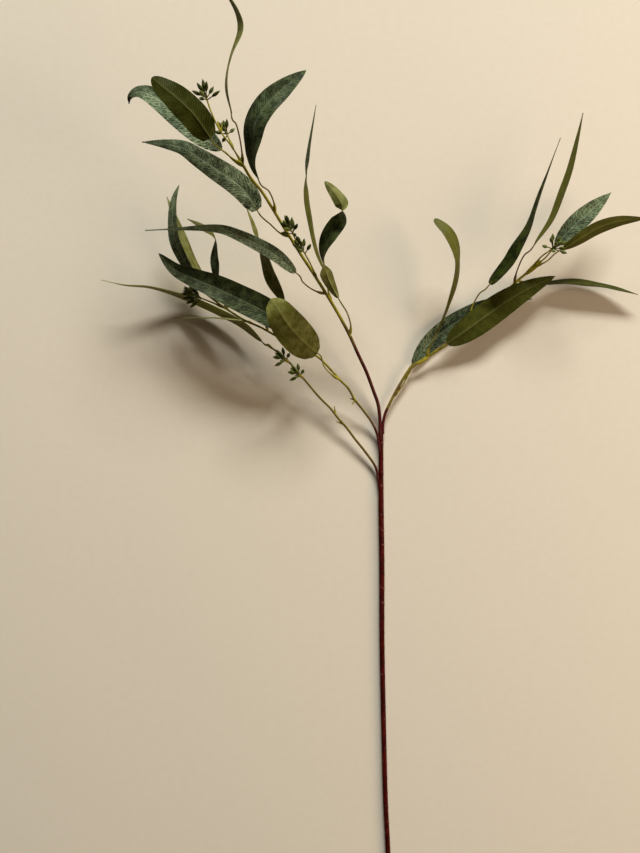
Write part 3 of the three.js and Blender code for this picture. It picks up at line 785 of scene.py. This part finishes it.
def thicken_blade(blade, length, plain):
    """Gives the blade a back, with a raised rib down its middle. A plain leaf has two backs."""
    face_count = len(blade.data.vertices)
    shell = blade.modifiers.new("thickness", "SOLIDIFY")
    shell.thickness = BLADE_THICKNESS * MM
    shell.offset = 0
    settle(blade)
    spots = read_spots(blade)
    is_back = np.arange(len(spots)) >= face_count
    hump = np.exp(-((spots[:, 1] / (RIB_HALF * MM)) ** 2)) * (1 - spots[:, 0] / length)
    spots[is_back, 2] -= BACK_RIB_HEIGHT * MM * hump[is_back]
    write_spots(blade, spots)
    mark(blade, "underside", np.maximum(is_back, plain))


def make_leaf(node, leaf):
    """One leaf along its own rib."""
    draw = random.Random(node)
    line, length = trace([place(spot) for spot in leaf["rib"]], GUIDE_STEPS)
    veins = round(length / MM / VEIN_GAP)
    bpy.ops.object.select_all(action="DESELECT")
    bpy.ops.mesh.primitive_grid_add(x_subdivisions=veins * ROWS_PER_VEIN, y_subdivisions=COLUMNS, size=1)
    blade = bpy.context.object
    blade.name = f"{node}_blade"
    stretch_map(blade, veins)
    share, u = shape_blade(blade, leaf, length, veins, draw)
    thicken_blade(blade, length, leaf.get("plain", 0))
    turns = leaf["turn"] if len(leaf["turn"]) > 1 else leaf["turn"] * 2
    bend_along(blade, line, turns)
    # One half of the blade is made paler and the other darker: painted light on the half that a fold
    # turns towards the lamp, and painted shade on the half turned away.
    mark(blade, "frost_and_painted_light", leaf["frost_and_painted_light"] * (1 + leaf.get("painted_half_shade", 0) * np.tile(share, 2)))
    mark(blade, "tone_light_and_shade", np.full(2 * len(share), leaf["tone_light_and_shade"]))
    mark(blade, "dry", np.clip((np.tile(u, 2) - leaf.get("dry_from", NEVER_DRY)) / DRY_FADE, 0, 1))
    bpy.ops.object.shade_smooth_by_angle(angle=SMOOTH_ANGLE)
    dress(blade, leaf_finish, node)
    return len(blade.data.polygons)


def make_leaves(name, leaves):
    """All the leaves of one sprig."""
    faces = [make_leaf(f"{name}_leaf_{number}", leaf) for number, leaf in enumerate(leaves, 1)]
    print(name, "leaves:", len(faces), "faces:", sum(faces))


print("a leaf has", COLUMNS, "columns")

# %% [markdown]
# ## The bud bunches
# A bud is a small spindle on a thin stalk: a cup, a seam, and a pointed cap. It could be turned as a
# lathe shape, but a circle that is extruded and scaled ring by ring is the same work and needs no axis.
# One bud is modelled, then copied round a small hub, each copy a golden turn on from the last, so that
# no two line up. In a long bunch the outer buds sit further down the stalk. Each copy is a little
# lighter or darker than the next.

# %% The buds' finish
BUD_DARK = (0.016, 0.020, 0.003, 1)
BUD_GREEN = (0.066, 0.074, 0.010, 1)
BUD_YOUNG = (0.130, 0.150, 0.034, 1)
BUD_STALK = (0.120, 0.115, 0.026, 1)
YOUNG_LIMITS = (0.4, 1.0)
SEAM_AT = 0.67
SEAM_LINE = (0.05, 0.01)
SEAM_SHARE = 0.35
STALK_LIMITS = (0.48, 0.36)

bud_finish, tree, shader = new_finish("moulded bud plastic", 0.45)
patches, grain = place_dye(tree)
along_bud = add(tree, "Attribute", attribute_name="along").outputs["Fac"]
young = add(tree, "Attribute", attribute_name="young").outputs["Fac"]
bud_base = blend(tree, patches, BUD_DARK, BUD_GREEN)
bud_mixed = blend(tree, ease(tree, young, *YOUNG_LIMITS), bud_base, BUD_YOUNG)
seam_gap = reckon(tree, "ABSOLUTE", reckon(tree, "SUBTRACT", along_bud, SEAM_AT))
seam = reckon(tree, "MULTIPLY", ease(tree, seam_gap, *SEAM_LINE), SEAM_SHARE)
bud_seamed = blend(tree, seam, bud_mixed, BUD_YOUNG)
bud_tone = blend(tree, ease(tree, along_bud, *STALK_LIMITS), bud_seamed, BUD_STALK)
tree.links.new(bud_tone, shader.inputs["Base Color"])
speckle(tree, shader, grain, -1.2, 2.8)
roughen(tree, shader, grain, 0.08)
print("finish:", bud_finish.name)

# %% Model one bud
BUD_SIDES = 10
BUD_OUTLINE = [(0.0, 0.55), (0.36, 0.48), (0.42, 0.90), (0.50, 1.40), (0.59, 1.72), (0.645, 1.78),
               (0.67, 1.64), (0.70, 1.68), (0.78, 1.42), (0.87, 0.96), (0.95, 0.42), (1.0, 0.08)]

bpy.ops.object.select_all(action="DESELECT")
bpy.ops.mesh.primitive_circle_add(vertices=BUD_SIDES, radius=BUD_OUTLINE[0][1], fill_type="NGON")
bud = bpy.context.object
bud.name = "one_bud"
bpy.ops.object.mode_set(mode="EDIT")
for (share, wide), (next_share, next_wide) in zip(BUD_OUTLINE, BUD_OUTLINE[1:]):
    rise = {"value": (0, 0, next_share - share)}
    bpy.ops.mesh.extrude_region_move(TRANSFORM_OT_translate=rise)
    scale = next_wide / wide
    bpy.ops.transform.resize(value=(scale, scale, 1), center_override=(0, 0, 0))
bpy.ops.mesh.select_all(action="SELECT")
bpy.ops.mesh.normals_make_consistent(inside=False)
bpy.ops.object.mode_set(mode="OBJECT")
bpy.ops.object.shade_smooth()
mark(bud, "along", [point.co.z for point in bud.data.vertices])
print("bud faces:", len(bud.data.polygons))

# %% Gather buds into bunches
HUB_RADIUS = 1.6
HUB_SEGMENTS = 12
HUB_RINGS = 8
SEAT_GAP = 0.4
PEDICEL_SHARE = 0.4
BUD_LENGTHS = (0.88, 1.0)
INNER_LEAN = 10
OUTER_LEAN = 78
GOLDEN_TURN = math.pi * (3 - math.sqrt(5))
LATHE_AXIS = Vector((0, 1, 0))


def add_bud(move, young, pedicel):
    """One more copy of the bud, with a mesh of its own and a pedicel of its own length."""
    copy = bud.copy()
    copy.data = bud.data.copy()
    spots = read_spots(copy)
    spots[:, 2] = np.interp(spots[:, 2], (0, PEDICEL_SHARE, 1), (0, pedicel, 1))
    write_spots(copy, spots)
    copy.data.transform(move)
    mark(copy, "young", [young] * len(copy.data.vertices))
    bpy.context.scene.collection.objects.link(copy)
    return copy


def make_bunch(node, bunch):
    """Buds fanned round the end of their stalk."""
    draw = random.Random(node)
    before, end = [Vector(place(spot)) for spot in bunch["stalk"][-2:]]
    aim = (end - before).normalized()
    hub_place = end + aim * (HUB_RADIUS + SEAT_GAP) * MM
    stand_up = LATHE_AXIS.rotation_difference(aim)
    copies = []
    for number in range(bunch["count"]):
        spread = number / (bunch["count"] - 1)
        lean = math.radians(INNER_LEAN + (bunch.get("lean", OUTER_LEAN) - INNER_LEAN) * spread)
        turn = GOLDEN_TURN * number
        tip = Vector((math.sin(lean) * math.cos(turn), math.cos(lean), math.sin(lean) * math.sin(turn)))
        facing = Vector((0, 0, 1)).rotation_difference(stand_up @ tip).to_matrix().to_4x4()
        length = bunch["length"] * draw.uniform(*BUD_LENGTHS)
        size = Matrix.Diagonal((MM, MM, length * MM, 1))
        seat = hub_place - aim * bunch.get("reach", 0) * spread * MM
        move = Matrix.Translation(seat) @ facing @ size
        youth = draw.uniform(bunch.get("youngest", 0), 1)
        copies.append(add_bud(move, youth, bunch.get("pedicel", PEDICEL_SHARE)))
    bpy.ops.object.select_all(action="DESELECT")
    bpy.ops.mesh.primitive_uv_sphere_add(segments=HUB_SEGMENTS, ring_count=HUB_RINGS,
                                         radius=HUB_RADIUS * MM, location=hub_place)
    hub = bpy.context.object
    bpy.ops.object.transform_apply(location=True, rotation=True, scale=True)
    bpy.ops.object.shade_smooth()
    for copy in copies:
        copy.select_set(True)
    bpy.context.view_layer.objects.active = hub
    bpy.ops.object.join()
    hub.name = f"{node}_bunch"
    dress(hub, bud_finish, node)
    return len(hub.data.polygons)


def make_bunches(name, buds):
    """All the bunches of one sprig."""
    faces = [make_bunch(f"{name}_buds_{number}", bunch) for number, bunch in enumerate(buds, 1)]
    print(name, "bunches:", len(faces), "faces:", sum(faces))


print("one golden turn in degrees:", round(math.degrees(GOLDEN_TURN), 1))

# %% [markdown]
# ## The top sprig
# The tallest sprig arches up and to the left. Its stem is red to about a third of the way and then
# a bright yellow-green. It carries eight leaves: two broad ones cross at its end, one shows its back.

# %% The top sprig's plan
TOP_AXIS = [(380.3, 440, 3), (380, 434, 4.2), (379.9, 420, 5), (378, 404, 8), (373.5, 391, 11),
    (366, 371, 16), (358, 354, 20), (350, 336, 24.5), (340, 317, 31), (330, 300, 38), (315, 276, 48),
    (300, 253, 57), (288, 234, 65), (274, 211, 76), (262, 192, 85), (250, 177, 92), (243, 165, 97)]
TOP_RADII = (1.8, 1.35)
TOP_LEAVES = [
    dict(
        stalk=[(243, 164, 97), (241.8, 151, 102), (239.3, 136, 108), (235.5, 123, 112)],
        rib=[(231.4, 113.5, 114), (226.8, 88, 118), (227.8, 70, 118.5), (231.1, 57, 118),
             (240.8, 30, 114), (237.7, 13, 112), (222, -14, 108)],
        turn=[78, 76, 58, 72], width=12, belly=0.45,
        frost_and_painted_light=0.3, tone_light_and_shade=0.55, plain=1, foot_tint=0.45, stalk_tint=0.6,
    ),
    dict(
        stalk=[(275.5, 213, 75.5), (274, 203, 81), (268.7, 191, 88)],
        rib=[(258.5, 179.5, 97), (253.7, 169, 102), (251.8, 157, 109), (252.8, 142, 117),
             (255.7, 123, 123), (265.8, 105.7, 125), (282.9, 88.6, 123), (306, 70.5, 118)],
        turn=[75, 50, 20, 5, 0], width=23.5, belly=0.48, fullness=1.5,
        frost_and_painted_light=0.3, tone_light_and_shade=0.5,
    ),
    dict(
        stalk=[(243, 165, 97), (232, 158, 105), (220.5, 149, 112)],
        rib=[(210.5, 138.5, 117), (194, 115, 125), (178.2, 99.3, 127), (164.3, 87.9, 125),
             (152, 77.5, 119)],
        turn=[180], width=26, belly=0.35, fullness=0.76,
        frost_and_painted_light=0.3, tone_light_and_shade=0.02,
    ),
    dict(
        stalk=[(244, 167, 96.5), (233, 160, 97)],
        rib=[(222, 150, 98.5), (203, 136, 101), (180.5, 116.2, 103), (158.7, 99.7, 101.5),
             (145, 92.7, 98.5), (135.7, 92.3, 95), (129.7, 97.3, 92), (129, 104, 89)],
        turn=[0], width=23.5, belly=0.38, fullness=1.45,
        frost_and_painted_light=1.5, tone_light_and_shade=0.4, dry_from=0.93,
    ),
    dict(
        stalk=[(290, 237, 63.5), (280, 233, 64), (270, 224, 68)],
        rib=[(257.5, 210.5, 72), (247, 193.7, 75.5), (234.3, 181.5, 78.5), (214.8, 168.3, 82),
             (198, 157.3, 84), (183.3, 148, 84), (165, 144, 81), (142, 142, 74)],
        turn=[0], width=22.5, belly=0.25, fullness=1.25,
        # One half of this leaf gets painted light and the other painted shade.
        frost_and_painted_light=1.2, tone_light_and_shade=0.4, painted_half_shade=0.3, dry_from=0.97,
    ),
    dict(
        stalk=[(332, 303, 36.8), (328, 290, 37)],
        rib=[(325, 272, 38), (318, 255, 42), (314, 240, 46), (310.5, 220, 50.5), (307.2, 200, 54),
             (306.3, 180, 57), (308.5, 155, 60), (316, 105, 60)],
        turn=[118, 118, 115, 108, 72, 68, 76], width=12, belly=0.45,
        frost_and_painted_light=0.3, tone_light_and_shade=0.42,
    ),
    dict(
        stalk=[(350, 336, 24.5), (350.8, 326, 28), (347, 312.5, 36)],
        rib=[(338.5, 298.5, 44), (333, 289, 48), (328.3, 279, 52), (324, 264, 57.5), (324.5, 250, 60.5),
             (331, 233, 63.5), (340, 218, 66), (342.3, 207, 67), (336.7, 196, 66), (325, 181.5, 62)],
        turn=[185, 185, 182, 165, 95, 76, 50, 22, 0, -18, -75, -160, -172, -175, -175],
        width=16, belly=0.52, fold=0.2, fullness=1.05,
        frost_and_painted_light=0.08, tone_light_and_shade=0.64,
    ),
    dict(
        stalk=[(326, 294, 40.5), (318, 292, 43), (310, 288, 46), (302, 281, 49)],
        rib=[(296, 273, 51), (276, 255.2, 56), (256, 243.6, 59), (240.7, 236.3, 60), (225, 230.2, 59.5),
             (210, 228.2, 58), (180, 228.8, 53), (145, 230.5, 48)],
        turn=[5, 0, -5, -10, -10], width=13, belly=0.22, fullness=2.05,
        frost_and_painted_light=1.7, tone_light_and_shade=0.5, stalk_tint=0.6, foot_tint=0.6,
    ),
]
TOP_BUDS = [
    dict(
        stalk=[(243, 165, 97), (232, 147, 103), (220.5, 131.5, 108), (212, 114, 111), (206.3, 98, 113)],
        count=9, length=16, reach=4,
    ),
    dict(
        stalk=[(233.5, 149.5, 102), (229.5, 140, 99), (227, 134.5, 97)],
        count=8, length=14.5, reach=3,
    ),
    dict(
        stalk=[(300, 253, 57), (296, 240.5, 67), (290.3, 229, 77)],
        count=12, length=15, lean=56, reach=10,
    ),
    dict(
        stalk=[(317, 279, 47), (310.3, 263.5, 61), (302.2, 249, 72)],
        count=9, length=14, lean=50, reach=8,
    ),
]
TOP_NUBS = [((220, 131, 108), (217.5, 121, 109)), ((221, 132, 108), (222, 121.5, 109))]

# %% Make the top sprig
TOP_TINTS = [(0, 1), (0.3, 0.95), (0.38, 0.5), (0.46, 0.05), (1, 0.0)]
make_sprig("top", TOP_AXIS, TOP_RADII, TOP_LEAVES, TOP_BUDS, TOP_NUBS, TOP_TINTS)
make_leaves("top", TOP_LEAVES)
make_bunches("top", TOP_BUDS)

# %% [markdown]
# ## The left sprig
# This one leans out to the left at half height. A broad leaf shows its back near the middle, and a dark
# veined leaf lies behind it. The stem is thin and olive, with three short spikes low down.

# %% The left sprig's plan
LEFT_AXIS = [(380, 452, 3.5), (378.6, 441, 4), (376, 431, 5), (371, 421, 7), (363, 410, 9.5),
    (355, 400, 12.5), (348, 388, 16), (341, 381, 18.5), (331, 370, 22), (318, 357, 25.5),
    (300, 348, 28), (280, 338, 30), (260, 327, 32), (245, 320.5, 33), (235, 314.5, 33),
    (221, 305.2, 32.5), (207, 294.5, 32)]
LEFT_RADII = (1.25, 1)
LEFT_LEAVES = [
    dict(
        stalk=[(340, 380, 19), (332, 375, 23), (324, 366, 28)],
        rib=[(317.5, 353.5, 33), (302, 340.7, 52), (287.6, 324.2, 66), (276, 306.5, 72), (271, 299, 62)],
        turn=[180], width=33.5, belly=0.42, fullness=0.95,
        frost_and_painted_light=0.3, tone_light_and_shade=0.54,
    ),
    dict(
        stalk=[(300, 348, 28.2), (293, 336, 33)],
        rib=[(285, 325, 38), (262.5, 310.3, 43), (235, 296.5, 47), (215, 287, 48), (194.5, 278.5, 47),
             (175.5, 269.7, 44), (158.7, 253.5, 40)],
        turn=[-6], width=26.5, belly=0.26, fold=0.3, fullness=0.95,
        # The upper half of this leaf gets painted shade and the lower half painted light.
        frost_and_painted_light=0.24, tone_light_and_shade=0.4, painted_half_shade=-0.55,
    ),
    dict(
        stalk=[(304, 350, 27.6), (300, 335, 32), (292, 317, 38)],
        rib=[(284.5, 303, 40), (271.7, 278, 40), (263.7, 255, 42), (257.5, 235, 43), (246.3, 207, 45)],
        turn=[38, 40, 62, 112, 118], width=16.5, belly=0.4,
        frost_and_painted_light=0.1, tone_light_and_shade=0.55, plain=1,
    ),
    dict(
        stalk=[(228, 309.8, 32.7), (221.5, 297, 31)],
        rib=[(217, 284, 29), (214.9, 262, 32), (214.9, 238, 36), (203, 227, 37), (187.5, 219, 34)],
        turn=[30, 30, 70, 150, 165], width=11, belly=0.4,
        frost_and_painted_light=0.4, tone_light_and_shade=0.37,
    ),
    dict(
        stalk=[(209.5, 296.5, 32.1), (207, 291, 33)],
        rib=[(199.3, 282.3, 33), (183.7, 260.3, 35), (175.3, 240, 37), (172.5, 215, 39),
             (174.7, 198, 40), (179, 185, 41)],
        turn=[40], width=14, belly=0.45, fullness=1.3,
        frost_and_painted_light=0.9, tone_light_and_shade=0.4,
    ),
    dict(
        stalk=[(218, 303, 32.4), (213, 294, 29)],
        rib=[(207, 283, 26), (193.5, 262, 26), (183, 238, 27), (174.5, 217, 28), (167, 197, 28)],
        turn=[150], width=9.5, belly=0.45,
        frost_and_painted_light=0.3, tone_light_and_shade=0.64,
    ),
    dict(
        stalk=[(254, 324.4, 32.4), (249, 322, 30)],
        rib=[(243, 321, 28), (225, 318.5, 21), (205, 317.5, 12), (175, 318.5, 0.9)],
        turn=[100], width=9, belly=0.4,
        frost_and_painted_light=0.3, tone_light_and_shade=1, plain=1,
    ),
]
LEFT_BUDS = [
    dict(
        stalk=[(225, 308, 32.6), (212, 302.5, 29.5), (198.5, 297, 29.5)],
        count=13, length=17.5, lean=62, reach=5,
    ),
    dict(
        stalk=[(268, 331.5, 31.2), (267, 328, 30)],
        count=4, length=8,
    ),
]
LEFT_NUBS = [((355, 400, 12.5), (350, 398.5, 12.5)), ((355, 400.5, 12.5), (352, 404.5, 12.5)),
    ((355, 401, 12.5), (353.8, 396.5, 13.5))]

# %% Make the left sprig
LEFT_TINTS = [(0, 1), (0.1, 0.9), (0.17, 0.45), (0.35, 0.3), (0.6, 0.25), (1, 0.35)]
make_sprig("left", LEFT_AXIS, LEFT_RADII, LEFT_LEAVES, LEFT_BUDS, LEFT_NUBS, LEFT_TINTS)
make_leaves("left", LEFT_LEAVES)
make_bunches("left", LEFT_BUDS)

# %% [markdown]
# ## The low sprig
# The lowest sprig lies close to the floor, with two bunches of buds and one long narrow leaf. Two
# trimmed stubs show where further leaves once sat.

# %% The low sprig's plan
LOW_AXIS = [(379.5, 490, 3), (378, 478, 3.2), (375.5, 467, 4), (365, 451.5, 5.5), (355, 439, 7),
    (346, 427, 8.5), (338, 418, 10), (331, 409, 11), (320, 398, 12.5), (303, 378, 15), (285, 358, 17),
    (272, 348, 17.8)]
LOW_RADII = (1.35, 1)
LOW_LEAVES = [
    dict(
        stalk=[(273, 349, 17.8), (267, 344.5, 17)],
        rib=[(262, 341.5, 16), (243.6, 325.2, 12), (220.4, 312.2, 9), (190.4, 299, 9), (150, 287, 18),
             (125, 285, 23), (101, 280, 26)],
        turn=[50, 48, 60, 70, 80], width=11, belly=0.3,
        frost_and_painted_light=0.3, tone_light_and_shade=1, plain=1, stalk_tint=0.5,
    ),
]
LOW_BUDS = [
    dict(
        stalk=[(303.5, 378.5, 14.9), (299, 374.5, 21)],
        count=10, length=13.5, lean=54, reach=5, youngest=0.6,
    ),
    dict(
        stalk=[(289, 362.5, 16.5), (284.5, 359, 22)],
        count=10, length=14, lean=56, reach=5, youngest=0.6,
    ),
]
LOW_NUBS = [((335.6, 414, 10.3), (334.2, 406, 11)), ((343, 424, 9), (336, 421.5, 9))]

# %% Make the low sprig
LOW_TINTS = [(0, 1), (0.1, 0.9), (0.2, 0.6), (0.5, 0.45), (0.8, 0.4), (1, 0.45)]
make_sprig("low", LOW_AXIS, LOW_RADII, LOW_LEAVES, LOW_BUDS, LOW_NUBS, LOW_TINTS)
make_leaves("low", LOW_LEAVES)
make_bunches("low", LOW_BUDS)

# %% [markdown]
# ## The right sprig
# The right sprig runs low to the right, with a thin strand of plastic beside its foot. One broad leaf
# shows its back over another that lies on the floor, and the end has a thick yellow collar with the
# last leaves and buds.

# %% The right sprig's plan
RIGHT_AXIS = [(382.9, 434, 3), (383, 424, 3.2), (385, 414, 3.6), (389, 405, 4.2), (394, 395, 4.8),
    (401, 382.5, 5.5), (411, 368, 6.5), (435, 352, 8), (460, 335, 9), (490, 308, 10), (515, 283, 11.5),
    (534, 267, 19)]
RIGHT_RADII = (1.5, 1.3)
RIGHT_LEAVES = [
    dict(
        stalk=[(401, 382, 5.4), (408, 372, 4.6)],
        rib=[(412, 365, 4.2), (430.5, 342, 4), (457, 321.5, 3.4), (490, 305, 2.4), (532, 299, 0.9)],
        turn=[-12], width=20, belly=0.36,
        frost_and_painted_light=0.85, tone_light_and_shade=0.4,
    ),
    dict(
        stalk=[(432, 354, 7.8), (440, 349, 10)],
        rib=[(447, 344, 12), (475.4, 323.9, 13.4), (504.4, 302.9, 14.7), (529.5, 288, 14.2),
             (555, 276.2, 12)],
        turn=[180], width=26.8, belly=0.38, fullness=1.25,
        frost_and_painted_light=0.3, tone_light_and_shade=0.14,
    ),
    dict(
        stalk=[(426, 357.5, 7.4), (430, 346, 13)],
        rib=[(437.5, 332, 19), (448.3, 307, 27), (455.7, 283, 34), (458.2, 262, 38), (455.7, 246, 40),
             (448.5, 232, 40.5), (434.5, 219, 37)],
        turn=[112, 112, 112, 118, 150, 165], width=14, belly=0.62, fullness=1,
        frost_and_painted_light=0.2, tone_light_and_shade=0.4,
    ),
    dict(
        stalk=[(467, 328.7, 9.3), (470, 315, 9.8), (473, 305, 10.3), (480, 293, 17)],
        rib=[(489.5, 284.5, 23), (509.2, 261.7, 30), (516.7, 248, 33), (529, 226, 36), (535.5, 208, 37),
             (541.3, 190, 38), (560.5, 138, 38)],
        turn=[38, 45, 72, 78, 80], width=14.5, belly=0.22,
        frost_and_painted_light=0, tone_light_and_shade=0.4,
    ),
    dict(
        stalk=[(514, 284, 11.2), (517, 271, 18), (524.5, 255, 27)],
        rib=[(534, 245, 32), (552, 218, 37), (564.9, 185, 40), (574.6, 152, 42), (583, 113, 42)],
        turn=[62, 60, 60, 65], width=10.5, belly=0.4,
        frost_and_painted_light=0.45, tone_light_and_shade=0.4, plain=1, stalk_tint=0.65, foot_tint=0.5,
    ),
    dict(
        stalk=[(532, 268.6, 18.3), (541, 257, 25)],
        rib=[(554.5, 245.6, 31), (573.4, 226.2, 32), (592.1, 209.2, 30), (611, 192.7, 25)],
        turn=[0], width=18.5, belly=0.42,
        frost_and_painted_light=0.85, tone_light_and_shade=0.4,
    ),
    dict(
        stalk=[(533, 267.8, 18.6), (547, 261, 27)],
        rib=[(561, 250, 35.5), (580, 238.8, 40), (600, 227.1, 41), (620, 221.3, 39), (648, 218, 33)],
        turn=[150], width=13.8, belly=0.4,
        frost_and_painted_light=0.3, tone_light_and_shade=0.44,
    ),
    dict(
        stalk=[(518, 280.5, 12), (523, 282.5, 10.2), (530, 284, 9)],
        rib=[(540, 284, 8.5), (565, 282, 8.5), (585, 283.2, 8.5), (602, 285.7, 9), (620, 289.7, 10),
             (638, 294.6, 11.5)],
        turn=[55], width=12, belly=0.4,
        frost_and_painted_light=0.3, tone_light_and_shade=0.03, plain=1,
    ),
]
RIGHT_BUDS = [
    dict(
        stalk=[(533, 267.8, 18.6), (545, 258, 30), (552, 250, 42)],
        count=11, length=16.5, pedicel=0.55, youngest=0.7,
    ),
]
RIGHT_NUBS = [((394.5, 396.5, 4.2), (403, 384.5, 4.8), (411, 370, 6))]
RIGHT_COLLARS = [((526, 274, 15.4), (541, 261, 21.6), 2.6), ((418, 364, 7), (429, 356.5, 7.7), 1.9)]

# %% Make the right sprig
RIGHT_TINTS = [(0, 1), (0.105, 0.95), (0.125, 0.35), (0.165, 0.4), (0.18, 0.6), (0.225, 0.55),
               (0.26, 0.35), (0.6, 0.3), (1, 0.1)]
make_sprig("right", RIGHT_AXIS, RIGHT_RADII, RIGHT_LEAVES, RIGHT_BUDS, RIGHT_NUBS, RIGHT_TINTS,
           RIGHT_COLLARS)
make_leaves("right", RIGHT_LEAVES)
make_bunches("right", RIGHT_BUDS)

# %% [markdown]
# ## Finish
# The model bud has done its work, so it goes. The finished branch has to keep the CAD model's size.

# %% Remove the model bud
bpy.data.objects.remove(bud)
bpy.ops.object.select_all(action="DESELECT")
